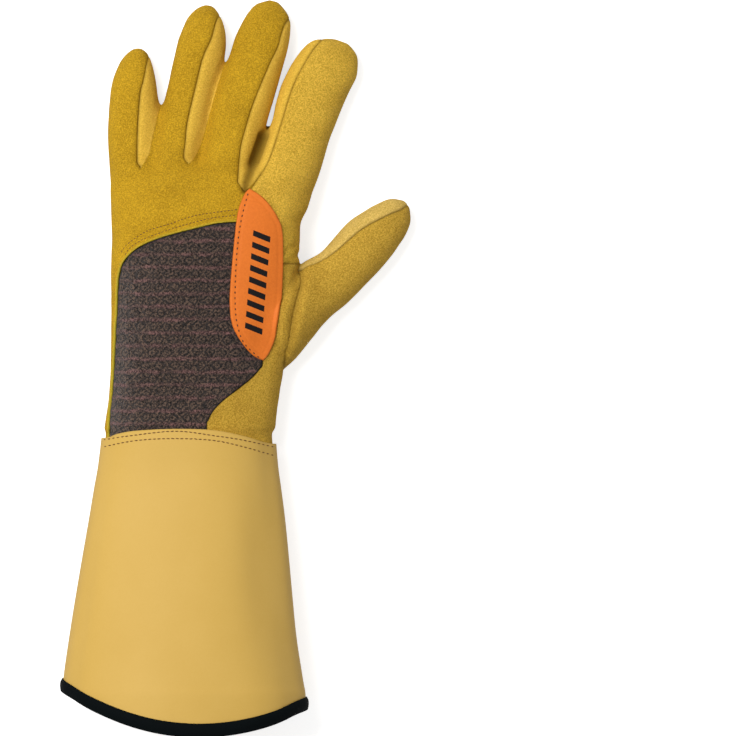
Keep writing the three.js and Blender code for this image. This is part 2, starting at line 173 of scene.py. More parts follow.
# Shares of each digit's own length, width and thickness
DIGIT_COLUMNS = "along left right low high"
DIGIT_SECTIONS = {
    "little": table(
        DIGIT_COLUMNS,
        (-0.45, -0.34, 0.44, 0.2, 1.5),
        (0, -0.46, 0.46, 0, 1.28),
        (0.33, -0.53, 0.48, 0, 1.08),
        (0.55, -0.51, 0.46, 0, 1),
        (0.7, -0.48, 0.41, 0, 0.96),
        (0.81, -0.42, 0.37, 0.01, 0.89),
        (0.91, -0.3, 0.3, 0.05, 0.76),
        (0.97, -0.15, 0.21, 0.14, 0.62),
        (1, -0.02, 0.09, 0.26, 0.48),
    ),
    "ring": table(
        DIGIT_COLUMNS,
        (-0.35, -0.44, 0.44, 0, 1.5),
        (0, -0.46, 0.46, 0, 1.35),
        (0.25, -0.5, 0.49, 0, 1.12),
        (0.47, -0.455, 0.45, 0, 1.02),
        (0.7, -0.46, 0.5, 0, 0.97),
        (0.82, -0.44, 0.48, 0.01, 0.92),
        (0.915, -0.36, 0.36, 0.04, 0.8),
        (0.97, -0.23, 0.2, 0.14, 0.64),
        (1, -0.06, 0.06, 0.26, 0.48),
    ),
    "middle": table(
        DIGIT_COLUMNS,
        (-0.35, -0.42, 0.42, 0, 1.45),
        (0, -0.45, 0.45, 0, 1.32),
        (0.23, -0.49, 0.46, 0, 1.12),
        (0.46, -0.53, 0.45, 0, 1.03),
        (0.68, -0.47, 0.45, 0, 0.97),
        (0.79, -0.465, 0.455, 0.01, 0.92),
        (0.895, -0.4, 0.4, 0.04, 0.82),
        (0.955, -0.31, 0.29, 0.13, 0.66),
        (1, -0.07, 0.07, 0.26, 0.48),
    ),
    "index": table(
        DIGIT_COLUMNS,
        (-0.35, -0.4, 0.4, 0, 1.45),
        (0, -0.45, 0.47, 0, 1.3),
        (0.2, -0.47, 0.48, 0, 1.12),
        (0.38, -0.455, 0.44, 0, 1.04),
        (0.5, -0.49, 0.445, 0, 1),
        (0.62, -0.51, 0.455, 0, 0.98),
        (0.74, -0.49, 0.475, 0, 0.94),
        (0.83, -0.45, 0.5, 0.01, 0.88),
        (0.9, -0.39, 0.46, 0.06, 0.8),
        (0.95, -0.3, 0.4, 0.12, 0.7),
        (0.98, -0.15, 0.31, 0.2, 0.58),
        (1.0, 0.02, 0.2, 0.28, 0.48),
    ),
    "thumb": table(
        DIGIT_COLUMNS,
        (-0.94, -0.3, 0.56, 0, 0.85),
        (-0.68, -0.45, 0.58, 0, 1.14),
        (-0.46, -0.5, 0.53, 0, 1.28),
        (-0.2, -0.5, 0.48, 0, 1.14),
        (0, -0.46, 0.5, 0, 1.05),
        (0.18, -0.38, 0.5, 0, 1),
        (0.5, -0.44, 0.47, 0, 0.97),
        (0.7, -0.38, 0.41, 0.01, 0.9),
        (0.83, -0.31, 0.35, 0.04, 0.81),
        (0.93, -0.23, 0.25, 0.11, 0.68),
        (1, -0.05, 0.06, 0.28, 0.48),
    ),
}


def curve_between(before, start, end, after, share):
    """A smooth step from start to end, shaped by their neighbours."""
    return 0.5 * (
        2 * start
        + (end - before) * share
        + (2 * before - 5 * start + 4 * end - after) * share**2
        + (3 * start - before - 3 * end + after) * share**3
    )


def fine_rows(rows, steps):
    finer = []
    last = len(rows) - 1
    for place in range(last):
        around = [rows[max(place - 1, 0)], rows[place], rows[place + 1], rows[min(place + 2, last)]]
        for step in range(steps):
            finer.append({key: curve_between(*(row[key] for row in around), step / steps) for key in rows[0]})
    finer.append(dict(rows[-1]))
    return finer


def smooth_line(points, steps=6):
    """A smooth open line through the points."""
    points = [Vector(point) for point in points]
    ends = [points[0], *points, points[-1]]
    line = []
    for place in range(len(points) - 1):
        for step in range(steps):
            line.append(curve_between(*ends[place:place + 4], step / steps))
    line.append(points[-1])
    return line


def rounded(value):
    return math.copysign(abs(value) ** (2 / SQUARENESS), value)


def dent_depth(dents, along, turn):
    """How far the dents draw the surface in at one place; turn is in degrees."""
    depth = 0
    for dent in dents:
        ahead = (along - dent["along"]) / dent["reach"]
        aside = (turn - dent["turn"]) / dent["spread"]
        depth += dent["depth"] * math.exp(-(ahead**2) - aside**2)
    return depth


def section_point(size, turn, offset=0.0, dents=()):
    """Sideways place and height of one point of a section; turn is in degrees."""
    middle = (size["left"] + size["right"]) / 2
    half = max((size["right"] - size["left"]) / 2 + offset, LEAST_HALF)
    centre = size["low"] + WIDEST_LINE * (size["high"] - size["low"])
    rise = max(size["high"] - centre + offset, LEAST_HALF)
    lowest = max(0.0, size["low"] - offset)
    drawn = dent_depth(dents, size["along"], turn)
    angle = math.radians(turn)
    sideways = middle + (half - drawn) * rounded(math.cos(angle))
    return sideways, max(lowest, centre + (rise - drawn) * rounded(math.sin(angle)))


def scaled(row, width, height):
    return {
        "along": row["along"],
        "left": row["left"] * width,
        "right": row["right"] * width,
        "low": row.get("low", 0) * height,
        "high": row["high"] * height,
    }


def add_ring(bm, place, across, size, sides, offset=0.0, dents=()):
    """A circle drawn out to one section; returns its edges."""
    ring = bmesh.ops.create_circle(bm, segments=sides, radius=1)["verts"]
    for vert in ring:
        turn = math.degrees(math.atan2(vert.co.y, vert.co.x))
        sideways, height = section_point(size, turn, offset, dents)
        vert.co = place + across * sideways + Vector((0, 0, height))
    return list({edge for vert in ring for edge in vert.link_edges})


def join_rings(bm, rings):
    """Skins the rings in order and closes the two ends."""
    for near, far in zip(rings, rings[1:]):
        bmesh.ops.bridge_loops(bm, edges=near + far)
    for ring in (rings[0], rings[-1]):
        bmesh.ops.contextual_create(bm, geom=ring)
    bmesh.ops.recalc_face_normals(bm, faces=bm.faces)


RIGHTWARDS = Vector((1, 0, 0))
CUFF_FINE = fine_rows(CUFF_SECTIONS, 8)
CUFF_ALONG = [row["along"] for row in CUFF_FINE]


def cuff_size(along, low=CUFF_REST):
    row = {}
    for key in CUFF_FINE[0]:
        row[key] = float(np.interp(along, CUFF_ALONG, [fine[key] for fine in CUFF_FINE]))
    size = scaled(row, HEM_WIDTH, HEM_HEIGHT)
    size["along"] = along
    size["low"] = low
    return size


def cuff_point(along, turn):
    sideways, height = section_point(cuff_size(along), turn, 0, CUFF_DENTS)
    return Vector((sideways, -along * CUFF_LENGTH, height))


def digit_frame(name):
    size = DIGITS[name]
    lean = math.radians(size["lean"])
    root = Vector((size["across"] * PALM_WIDTH, size["along"] * PALM_LENGTH, 0))
    ahead = Vector((math.sin(lean), math.cos(lean), 0))
    return size, root, ahead, Vector((ahead.y, -ahead.x, 0))


def add_palm(bm):
    rings = []
    for row in reversed([row for row in CUFF_SECTIONS if row["along"] < LAP_SHARE]):
        low = row["hand_lift"] * CUFF_REST - (1 - row["hand_lift"]) * LAP_DEPTH
        size = cuff_size(row["along"], low)
        place = Vector((0, -row["along"] * CUFF_LENGTH, 0))
        rings.append(add_ring(bm, place, RIGHTWARDS, size, PALM_SIDES, -LAP_DEPTH, CUFF_DENTS))
    for row in fine_rows(PALM_SECTIONS, FINE_STEPS):
        size = scaled(row, PALM_WIDTH, PALM_THICKNESS)
        place = Vector((0, row["along"] * PALM_LENGTH, 0))
        rings.append(add_ring(bm, place, RIGHTWARDS, size, PALM_SIDES, SMOOTHED_SIDE, PALM_DENTS))
    join_rings(bm, rings)


def add_digit(bm, name):
    size, root, ahead, across = digit_frame(name)
    rings = []
    for row in fine_rows(DIGIT_SECTIONS[name], FINE_STEPS):
        at_tip = min(max((row["along"] - TIP_START) / (1 - TIP_START), 0), 1)
        place = root + ahead * (row["along"] * size["length"] + at_tip * SMOOTHED_TIP)
        section = scaled(row, size["width"], size["thickness"])
        rings.append(add_ring(bm, place, across, section, DIGIT_SIDES, SMOOTHED_SIDE))
    join_rings(bm, rings)


def new_object(name, bm):
    mesh = bpy.data.meshes.new(name)
    bm.to_mesh(mesh)
    bm.free()
    piece = bpy.data.objects.new(name, mesh)
    bpy.context.scene.collection.objects.link(piece)
    return piece


def with_modifiers(piece):
    """A bmesh of the piece with its modifiers applied; the piece goes."""
    evaluated = piece.evaluated_get(bpy.context.evaluated_depsgraph_get())
    bm = bmesh.new()
    bm.from_mesh(evaluated.to_mesh())
    evaluated.to_mesh_clear()
    mesh = piece.data
    bpy.data.objects.remove(piece)
    bpy.data.meshes.remove(mesh)
    return bm


def hand_form():
    """Palm and digits fused into one even skin."""
    whole = bmesh.new()
    add_palm(whole)
    for name in DIGITS:
        add_digit(whole, name)
    piece = new_object("hand_form", whole)
    even = piece.modifiers.new("even", "REMESH")
    even.mode = "VOXEL"
    even.voxel_size = VOXEL
    soft = piece.modifiers.new("soft", "SMOOTH")
    soft.factor = 0.5
    soft.iterations = 9
    return with_modifiers(piece)


# Places in the plan: shares of the palm, or of one digit
def on_palm(along, across):
    return Vector((across * PALM_WIDTH, along * PALM_LENGTH))


def palm_line(*pairs):
    return smooth_line([on_palm(*pair) for pair in pairs])


def digit_line(name, *pairs):
    size, root, ahead, across = digit_frame(name)
    points = []
    for along, aside in pairs:
        point = root + ahead * (along * size["length"]) + across * (aside * size["width"])
        points.append(point.xy)
    return smooth_line(points)


KNIT_OUTLINE = (
    palm_line((0.859, 0.2), (0.859, 0.13), (0.853, 0.035), (0.832, -0.076), (0.79, -0.267), (0.737, -0.393),
              (0.652, -0.46), (0.454, -0.48), (0.186, -0.5), (0.072, -0.51), (-0.3, -0.518))
    + palm_line((-0.3, -0.02), (0.03, -0.014), (0.056, -0.009), (0.102, 0.02), (0.148, 0.077),
                (0.193, 0.153), (0.232, 0.211), (0.268, 0.25), (0.3, 0.266), (0.45, 0.25), (0.696, 0.24),
                (0.8, 0.2))
)
PATCH_OUTLINE = palm_line(
    (0.991, 0.197), (0.958, 0.259), (0.905, 0.316), (0.836, 0.355), (0.737, 0.362), (0.614, 0.359),
    (0.508, 0.35), (0.4, 0.325), (0.332, 0.292), (0.302, 0.263),
) + palm_line(
    (0.302, 0.263), (0.324, 0.21), (0.377, 0.154), (0.446, 0.11), (0.522, 0.098), (0.606, 0.101),
    (0.737, 0.115), (0.852, 0.13), (0.913, 0.144), (0.97, 0.173), (0.991, 0.197),
)
WRAP_OUTLINE = (
    palm_line((0.692, 0.23), (0.3, 0.24), (0.2, 0.1), (0.1, -0.03), (0.03, -0.06), (-0.3, -0.08))
    + [on_palm(-0.3, 0.8)]
    + palm_line((0.15, 0.5), (0.264, 0.372), (0.376, 0.397), (0.492, 0.42), (0.616, 0.45), (0.692, 0.47))
)
THUMB_OUTLINE = palm_line(
    (0.1, 0.42), (0.264, 0.37), (0.376, 0.395), (0.492, 0.418), (0.616, 0.448), (0.7, 0.45), (0.83, 0.52),
    (1, 0.62), (1.25, 0.9),
) + [on_palm(1, 1.5), on_palm(0.2, 1.5)]
THUMB_FLANK = digit_line(
    "thumb", (-0.3, -0.62), (0, -0.36), (0.22, -0.245), (0.57, -0.2), (0.85, -0.05), (0.98, 0.03), (1.3, 0.1)
) + digit_line("thumb", (1.3, -1.2), (-0.3, -1.2))
INDEX_OUTLINE = (
    palm_line((0.99, 0.2), (0.86, 0.2))
    + palm_line((0.69, 0.225), (0.686, 0.36), (0.69, 0.9))
    + digit_line("index", (0.4, 1), (1.1, 0.8), (1.1, -0.2))
    + digit_line("index", (0.99, -0.18), (0.935, -0.235), (0.84, -0.29), (0.64, -0.35), (0.38, -0.32),
                 (0.13, -0.3), (-0.05, -0.38))
)
# Where a strip's lower end rolls into the next finger, with no seam in sight
FLANK_ENDS = {
    "little": digit_line("little", (0.385, 0.39), (0.282, 0.33), (0.224, 0.262), (0.181, 0.195),
                         (0.15, 0.14)),
    "ring": digit_line("ring", (0.24, 0.43), (0.188, 0.385), (0.155, 0.335), (0.145, 0.3)),
}
FOURCHETTES = {
    "fourchette_little_ring": (
        digit_line("little", (0.14, 0.13), (0.18, 0.06), (0.33, 0.05), (0.51, 0.07), (0.7, 0.115),
                   (0.78, 0.17), (0.92, 0.24), (1.05, 0.3))
        + digit_line("ring", (0.95, -0.8), (0.95, -0.42), (0.85, -0.44), (0.7, -0.43), (0.47, -0.46),
                     (0.25, -0.46))
        + FLANK_ENDS["little"]
    ),
    "fourchette_ring_middle": (
        digit_line("ring", (0.145, 0.29), (0.18, 0.18), (0.26, 0.14), (0.37, 0.09), (0.59, 0.1),
                   (0.73, 0.115), (0.84, 0.2), (0.97, 0.24), (1.05, 0.5))
        + digit_line("middle", (0.93, -0.6), (0.93, -0.35), (0.85, -0.41), (0.7, -0.46), (0.46, -0.52),
                     (0.3, -0.5))
        + FLANK_ENDS["ring"]
    ),
    "fourchette_middle_index": (
        digit_line("middle", (0.024, 0.44), (0.045, 0.3), (0.08, 0.26), (0.153, 0.21), (0.26, 0.157),
                   (0.46, 0.165), (0.68, 0.24), (0.785, 0.3), (0.93, 0.32), (1.05, 0.6))
        + digit_line("index", (1.1, -0.6), (1.1, -0.2), (0.98, -0.2), (0.935, -0.24), (0.84, -0.29),
                     (0.64, -0.35), (0.38, -0.32), (0.13, -0.3), (-0.02, -0.37))
    ),
}
FRONTS = {
    "ring_front": digit_line("ring", (-0.02, -0.46), (-0.1, -0.1), (0, 0.46))
    + digit_line("ring", (0.5, 0.48), (1.1, 0.6)) + digit_line("ring", (1.1, -0.6), (0.5, -0.52)),
    "middle_front": digit_line("middle", (-0.01, -0.45), (-0.01, 0.45))
    + digit_line("middle", (0.5, 0.5), (1.1, 0.6)) + digit_line("middle", (1.1, -0.6), (0.5, -0.58)),
}


def edge_heights(*pairs):
    """The cuff's top edge: shares of palm length at shares of hem width."""
    line = smooth_line([Vector((across * HEM_WIDTH, along * PALM_LENGTH)) for along, across in pairs])
    return np.array([point.x for point in line]), np.array([point.y for point in line])


BACK_EDGE = edge_heights(
    (-0.008, -0.6), (-0.008, -0.44), (0.009, -0.38), (0.022, -0.3), (0.029, -0.14), (0.024, 0.016),
    (0.002, 0.134), (-0.032, 0.273), (-0.045, 0.5),
)
FRONT_EDGE = edge_heights(
    (-0.1, -0.6), (-0.1, -0.44), (-0.208, -0.36), (-0.212, -0.19), (-0.192, -0.03), (-0.16, 0.13),
    (-0.076, 0.275), (-0.07, 0.5),
)
HEM_MIDDLE = HEM_WIDTH * -0.034
HEM_REACH = HEM_WIDTH * 0.6


def hem_height(x):
    share = (np.asarray(x) - HEM_MIDDLE) / HEM_REACH
    return -CUFF_LENGTH + CUFF_REST + HEM_RISE * share**2


def outline_field(outline):
    """Signed distance in the plan to a closed outline, below zero inside it."""
    start = np.array([(point.x, point.y) for point in outline])
    end = np.roll(start, -1, axis=0)

    def field(points):
        nearest = np.full(len(points), 1e9)
        crossings = np.zeros(len(points), int)
        x, y = points[:, 0], points[:, 1]
        for (ax, ay), (bx, by) in zip(start, end):
            dx, dy = bx - ax, by - ay
            length = dx * dx + dy * dy
            if length < 1e-14:
                continue
            share = np.clip(((x - ax) * dx + (y - ay) * dy) / length, 0, 1)
            nearest = np.minimum(nearest, np.hypot(x - ax - share * dx, y - ay - share * dy))
            if ay != by:
                spans = (ay > y) != (by > y)
                crossings += spans & (x < ax + (y - ay) * dx / dy)
        return np.where(crossings % 2 == 1, -nearest, nearest)

    return field


def line_distance(line):
    """Distance in the plan to an open line."""
    points_on = [(point.x, point.y) for point in line]

    def distance(points):
        nearest = np.full(len(points), 1e9)
        x, y = points[:, 0], points[:, 1]
        for (ax, ay), (bx, by) in zip(points_on, points_on[1:]):
            dx, dy = bx - ax, by - ay
            share = np.clip(((x - ax) * dx + (y - ay) * dy) / max(dx * dx + dy * dy, 1e-14), 0, 1)
            nearest = np.minimum(nearest, np.hypot(x - ax - share * dx, y - ay - share * dy))
        return nearest

    return distance


def all_points(bm):
    return np.array([vert.co for vert in bm.verts])


def cut_along(bm, field, where):
    """Cuts the skin along the field's zero line, where both ends of an edge are wanted."""
    bm.verts.index_update()
    points = all_points(bm)
    value = field(points)
    wanted = where(points)
    edges = list(bm.edges)
    verts = list(bm.verts)
    ends = np.array([(edge.verts[0].index, edge.verts[1].index) for edge in edges])
    first, second = value[ends[:, 0]], value[ends[:, 1]]
    crossing = np.nonzero((first * second < 0) & wanted[ends[:, 0]] & wanted[ends[:, 1]])[0]
    share = first[crossing] / (first[crossing] - second[crossing])

    # A vertex close to the line moves onto it, along the edge that meets the line nearest to it
    nearest = {}
    for number, place in zip(crossing, share):
        near, far = ends[number]
        if place > 0.5:
            near, far, place = far, near, 1 - place
        if place < 0.22 and place < nearest.get(near, (1,))[0]:
            nearest[near] = (place, far)
    for near, (place, far) in nearest.items():
        verts[near].co = Vector(points[near]).lerp(Vector(points[far]), place)
        value[near] = 0

    # The other edges that still cross the line are split on it
    on_line = [verts[near] for near in nearest]
    for number in crossing:
        near, far = ends[number]
        if value[near] * value[far] < 0:
            start, end = verts[near], verts[far]
            place = value[near] / (value[near] - value[far])
            middle = start.co.lerp(end.co, place)
            fresh = bmesh.utils.edge_split(edges[number], start, place)[1]
            fresh.co = middle
            on_line.append(fresh)
    bmesh.ops.connect_verts(bm, verts=on_line, check_degenerate=False)


def face_centres(bm):
    return np.array([face.calc_center_median() for face in bm.faces])


def move_out(bm, amount, lowest=0.0):
    """Moves each vertex along its normal by its own amount, and none below the lowest height."""
    bm.normal_update()
    for vert, step in zip(bm.verts, amount):
        vert.co += vert.normal * float(step)
        vert.co.z = max(vert.co.z, lowest)


def write_layer(bm, name, values):
    layer = bm.verts.layers.float.new(name)
    for vert, value in zip(bm.verts, values):
        vert[layer] = float(value)


def bump_of(distance, width):
    return np.exp(-((distance / width) ** 2))


def flank_field(name):
    """Below zero on the strip's side of the seam down the left flank of the named finger."""
    size, root, ahead, across = digit_frame(name)
    outer = -0.5 * size["width"] - 0.8 * MM

    def field(points):
        offset = points - np.array(root)
        along = offset @ np.array(ahead) / size["length"]
        aside = offset @ np.array(across)
        on_flank = np.minimum(points[:, 2] - WIDEST_LINE * size["thickness"], aside - outer)
        on_back = aside + 0.47 * size["width"]
        share = np.clip((along - 0.08) / 0.12, 0, 1)
        return share * on_flank + (1 - share) * on_back

    return field


def both(first, second):
    return lambda points: np.maximum(first(points), second(points))


def edge_field(edge):
    """Below zero under the cuff, past the lap."""
    return lambda points: points[:, 1] - np.interp(points[:, 0], *edge) + CUFF_LAP


def above_flank(points):
    """Below zero on the back, where the knit may lie."""
    return KNIT_START * PALM_THICKNESS - points[:, 2]


BACK_FIELDS = {
    "knit_panel": both(outline_field(KNIT_OUTLINE), above_flank),
    "thumb": outline_field(THUMB_OUTLINE),
    "wrist_wrap": outline_field(WRAP_OUTLINE),
    "index_back": outline_field(INDEX_OUTLINE),
    **{name: outline_field(outline) for name, outline in FOURCHETTES.items()},
}
SOFT_FLANKS = {
    "fourchette_little_ring": flank_field("ring"),
    "fourchette_ring_middle": flank_field("middle"),
}
for strip, flank in SOFT_FLANKS.items():
    BACK_FIELDS[strip] = both(BACK_FIELDS[strip], flank)
FRONT_FIELDS = {name: outline_field(outline) for name, outline in FRONTS.items()}
FLANK_FIELD = outline_field(THUMB_FLANK)
PATCH_FIELD = outline_field(PATCH_OUTLINE)


def above_seam(points):
    return points[:, 2] > FRONT_SEAM - HAIR


def below_seam(points):
    return points[:, 2] < FRONT_SEAM + HAIR


def everywhere(points):
    return np.ones(len(points), bool)


def cut_hand(bm):
    """Cuts the hand's skin along every seam and edge."""
    cut_along(bm, lambda points: points[:, 2] - FRONT_SEAM, everywhere)
    for name, field in BACK_FIELDS.items():
        cut_along(bm, field, everywhere if name == "thumb" else above_seam)
    cut_along(bm, FLANK_FIELD, above_seam)
    for field in FRONT_FIELDS.values():
        cut_along(bm, field, below_seam)
    cut_along(bm, edge_field(BACK_EDGE), above_seam)
    cut_along(bm, edge_field(FRONT_EDGE), below_seam)


def panel_names(bm):
    """The panel that each face belongs to; an empty name is past the lap under the cuff."""
    centres = face_centres(bm)
    above = centres[:, 2] > FRONT_SEAM
    names = np.where(above, "hand_back", "palm").astype(object)
    for name, field in FRONT_FIELDS.items():
        names[~above & (field(centres) < 0)] = name
    for name, field in reversed(BACK_FIELDS.items()):
        if name != "thumb":
            names[above & (field(centres) < 0)] = name
            continue
        inside = field(centres) < 0
        front = ~above | (FLANK_FIELD(centres) < 0)
        names[inside & front] = "thumb_front"
        names[inside & ~front] = "thumb_back"
    names[above & (BACK_FIELDS["knit_panel"](centres) < 0)] = "knit_panel"
    names[above & (edge_field(BACK_EDGE)(centres) < 0)] = ""
    names[~above & (edge_field(FRONT_EDGE)(centres) < 0)] = ""
    return list(names)


def nearest_distance(points, targets):
    """How far each point is from the nearest target, up to a reach that no effect passes."""
    if not len(targets):
        return np.full(len(points), 1.0)
    tree = KDTree(len(targets))
    for number, target in enumerate(targets):
        tree.insert(target, number)
    tree.balance()
    return np.array([tree.find(point)[2] for point in points])


# Folds in the suede: lines in the plan, with the width, depth and shade of each
FOLDS = table(
    "line width depth shade",
    (palm_line((1.21, 0.264), (1.14, 0.234), (1.08, 0.208), (1.03, 0.19), (0.99, 0.178)),
     2.1 * MM, 3.2 * MM, 1.6),
    (palm_line((0.7, 0.40), (0.742, 0.47)), 1.6 * MM, 0.9 * MM, 0),
    (palm_line((0.728, 0.36), (0.765, 0.43)), 1.6 * MM, 0.7 * MM, 0),
    (palm_line((0.62, 0.33), (0.5, 0.36), (0.38, 0.345)), 5 * MM, 0.9 * MM, 0),
    (palm_line((0.2, 0.16), (0.15, 0.22), (0.12, 0.3)), 4 * MM, 0.7 * MM, 0),
    (palm_line((0.07, 0.05), (0.09, 0.18), (0.07, 0.3)), 3.5 * MM, 0.6 * MM, 0),
)


# What each kind of line does to the skin: how far from it, how wide and how high
SEAM_GROOVE = dict(apart=0, width=0.6 * MM, rise=-0.7 * MM)
SEAM_PUFF = dict(apart=3 * MM, width=2 * MM, rise=0.28 * MM)
RAW_EDGE_RISE = dict(apart=1.5 * MM, width=1.2 * MM, rise=0.25 * MM)
CREASE_GROOVE = dict(apart=0, width=2.2 * MM, rise=-2.6 * MM)
CREASE_PUFF = dict(apart=5.5 * MM, width=3 * MM, rise=1.1 * MM)
PUFF_WAVER = 0.16 * MM

# Where a seam between a strip and a flank, or at a strip's end, counts as soft
SOFT_FLANK = 0.4 * MM
SOFT_END = 0.6 * MM


def swell(distance, shape):
    return shape["rise"] * bump_of(distance - shape["apart"], shape["width"])


def uneven(points, size, seed):
    """Smooth noise over the points, from about -1 to 1."""
    shift = Vector((seed, 1.7 * seed, 0.3 * seed))
    return np.array([noise.noise(Vector(point) / size + shift) for point in points])


def seam_points(bm, names):
    """Points on the turned seams, the knit's edges, the thumb's crease and the soft flanks."""
    owner = dict(zip(bm.faces, names))
    places = {"turned": [], "raw": [], "crease": [], "flank": []}
    turned, around_turned = [], []
    for vert in bm.verts:
        around = {owner[face] for face in vert.link_faces}
        if len(around) < 2:
            continue
        if "knit_panel" in around:
            places["raw"].append(vert.co.copy())
        elif around == {"wrist_wrap", "thumb_back"}:
            places["crease"].append(vert.co.copy())
        else:
            turned.append(vert.co.copy())
            around_turned.append(around)
    points = np.array(turned)
    soft = np.zeros(len(turned), bool)
    for name, field in SOFT_FLANKS.items():
        beside = np.array([name in around for around in around_turned])
        soft |= beside & (abs(field(points)) < SOFT_FLANK)
        for line in FLANK_ENDS.values():
            soft |= beside & (line_distance(line)(points) < SOFT_END)
    for point, on_flank in zip(turned, soft):
        places["flank" if on_flank else "turned"].append(point)
    return places


def fill_flanks(bm, flank, reach, rounds):
    """Rounds out the valley where a strip between fingers rolls under the next finger."""
    points = all_points(bm)
    beside = (nearest_distance(points, flank) < reach) & (points[:, 2] > 1.2 * FRONT_SEAM)
    verts = [vert for vert, near in zip(bm.verts, beside) if near]
    for _ in range(rounds):
        bmesh.ops.smooth_vert(bm, verts=verts, factor=0.5, use_axis_x=True, use_axis_y=True, use_axis_z=True)


def shape_hand(bm, names):
    """Draws the seams in, puffs the leather beside them and adds folds and an uneven nap."""
    fill_flanks(bm, seam_points(bm, names)["flank"], 6 * MM, 30)
    places = seam_points(bm, names)
    points = all_points(bm)
    bm.normal_update()
    facing = np.clip(np.array([vert.normal.z for vert in bm.verts]), 0.3, 1)
    to_turned = nearest_distance(points, places["turned"])
    to_raw = nearest_distance(points, places["raw"])
    to_crease = nearest_distance(points, places["crease"])
    waver = uneven(points, 5 * MM, 4.0)
    step = facing * swell(to_turned, SEAM_GROOVE)
    step += facing * (1 + PUFF_WAVER / SEAM_PUFF["rise"] * waver) * swell(to_turned, SEAM_PUFF)
    step += swell(to_raw, RAW_EDGE_RISE)
    above_sides = np.clip((points[:, 2] - 1.5 * FRONT_SEAM) / FRONT_SEAM, 0, 1)
    step += facing**2 * above_sides * (swell(to_crease, CREASE_GROOVE) + swell(to_crease, CREASE_PUFF))
    step += 0.35 * MM * uneven(points, 21 * MM, 1.0) + 0.12 * MM * uneven(points, 7 * MM, 2.0)
    # Painted shade: besides the dark lines of the turned seams, the seam mask darkens the thumb's crease,
    # most widely on the thumb's side, where shade falls.
    seam_shade = np.maximum(bump_of(to_turned, 0.75 * MM), bump_of(to_crease, 0.9 * MM))
    on_thumb = (BACK_FIELDS["thumb"](points) < 0) & (points[:, 2] > 1.5 * FRONT_SEAM)
    seam_shade = np.maximum(seam_shade, 0.7 * on_thumb * bump_of(to_crease, 2.6 * MM))
    # Painted shade: a fold whose shade is above nought darkens the colour along it, as in the deep valley
    # between the middle and index strips.
    for fold in FOLDS:
        apart = line_distance(fold["line"])(points)
        step -= np.where(points[:, 2] > FRONT_SEAM, fold["depth"], 0) * bump_of(apart, fold["width"])
        seam_shade = np.maximum(seam_shade, fold["shade"] * bump_of(apart, 1.3 * fold["width"]))
    step *= np.clip(points[:, 2] / (2 * MM), 0, 1)
    write_layer(bm, "seam", seam_shade)
    write_layer(bm, "raw", bump_of(to_raw, 0.8 * MM))
    move_out(bm, step)


def kept_faces(bm, wanted):
    """A copy of the skin with only the wanted faces."""
    part = bm.copy()
    part.faces.ensure_lookup_table()
    unwanted = [face for face, keep in zip(part.faces, wanted) if not keep]
    bmesh.ops.delete(part, geom=unwanted, context="FACES")
    return part


def finish_piece(bm, name, material, slot, nodes=(), wall=None):
    """Makes the object, gives it its wall, material and place in the frame."""
    bmesh.ops.translate(bm, verts=bm.verts, vec=ORIGIN)
    for face in bm.faces:
        face.smooth = True
    piece = new_object(name, bm)
    if wall:
        solid = piece.modifiers.new("wall", "SOLIDIFY")
        solid.thickness = wall
        solid.offset = -1
        solid.use_even_offset = False
    piece.data.materials.append(material)
    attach(piece, "root")
    if nodes:
        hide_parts(*nodes)
    return piece


# The index back, the wrist wrap and the thumb back are one tan suede, with a lighter copy for the index and a
# darker one for the wrap and thumb: painted light falling off towards the wrist. The thumb front is palm
# suede, painted paler on its upper flank: a painted highlight.
HAND_PIECES = table(
    "name slot material",
    ("hand_back", "ochre_suede", "ochre_suede"),
    ("index_back", "tan_suede", "index_suede"),
    ("wrist_wrap", "tan_suede", "tan_suede"),
    ("thumb_back", "tan_suede", "tan_suede"),
    ("thumb_front", "palm_suede", "thumb_front_suede"),
    ("palm", "palm_suede", "palm_suede"),
    ("ring_front", "palm_suede", "palm_suede"),
    ("middle_front", "palm_suede", "palm_suede"),
    ("fourchette_little_ring", "fourchette_suede", "fourchette_suede"),
    ("fourchette_ring_middle", "fourchette_suede", "fourchette_suede"),
    ("fourchette_middle_index", "fourchette_suede", "fourchette_suede"),
)

# The knit's figures: rows across the hand, each shifted by half a figure
FIGURE_WIDTH = 7.6 * MM
ROW_HEIGHT = 7.1 * MM


def add_hand(materials):
    bm = hand_form()
    cut_hand(bm)
    names = panel_names(bm)
    patch_skin = add_patch(bm, materials["orange_patch"])
    shape_hand(bm, names)
    skin = BVHTree.FromBMesh(bm)
    for row in HAND_PIECES:
        part = kept_faces(bm, [name == row["name"] for name in names])
        material = materials[row["material"]]
        finish_piece(part, f"{row['name']}_leather", material, row["slot"], [row["name"]], LEATHER)
    add_knit(kept_faces(bm, [name == "knit_panel" for name in names]), materials["knit"])
    add_tag(bm, materials["orange_tag"])
    bm.free()
    return skin, patch_skin


def add_knit(bm, material):
    """The knit lies under the suede's edge and is ribbed in low rows."""
    bmesh.ops.subdivide_edges(bm, edges=bm.edges, cuts=1, use_grid_fill=True)
    points = all_points(bm)
    ribs = np.cos(2 * math.pi * points[:, 1] / ROW_HEIGHT)
    figures = np.cos(2 * math.pi * points[:, 0] / FIGURE_WIDTH) * np.sin(math.pi * points[:, 1] / ROW_HEIGHT)
    relief = 0.12 * MM * ribs + 0.1 * MM * figures + 0.3 * MM * uneven(points, 18 * MM, 7.0)
    move_out(bm, -KNIT_RECESS + relief)
    finish_piece(bm, "knit_cloth", material, "knit", ["knit_panel"], LEATHER)


def cut_piece(bm, field, where):
    """A copy of the skin with only the faces inside the field's line where they are wanted."""
    part = bm.copy()
    cut_along(part, field, where)
    centres = face_centres(part)
    inside = (field(centres) < 0) & where(centres)
    outside = [face for face, keep in zip(part.faces, inside) if not keep]
    bmesh.ops.delete(part, geom=outside, context="FACES")
    return part


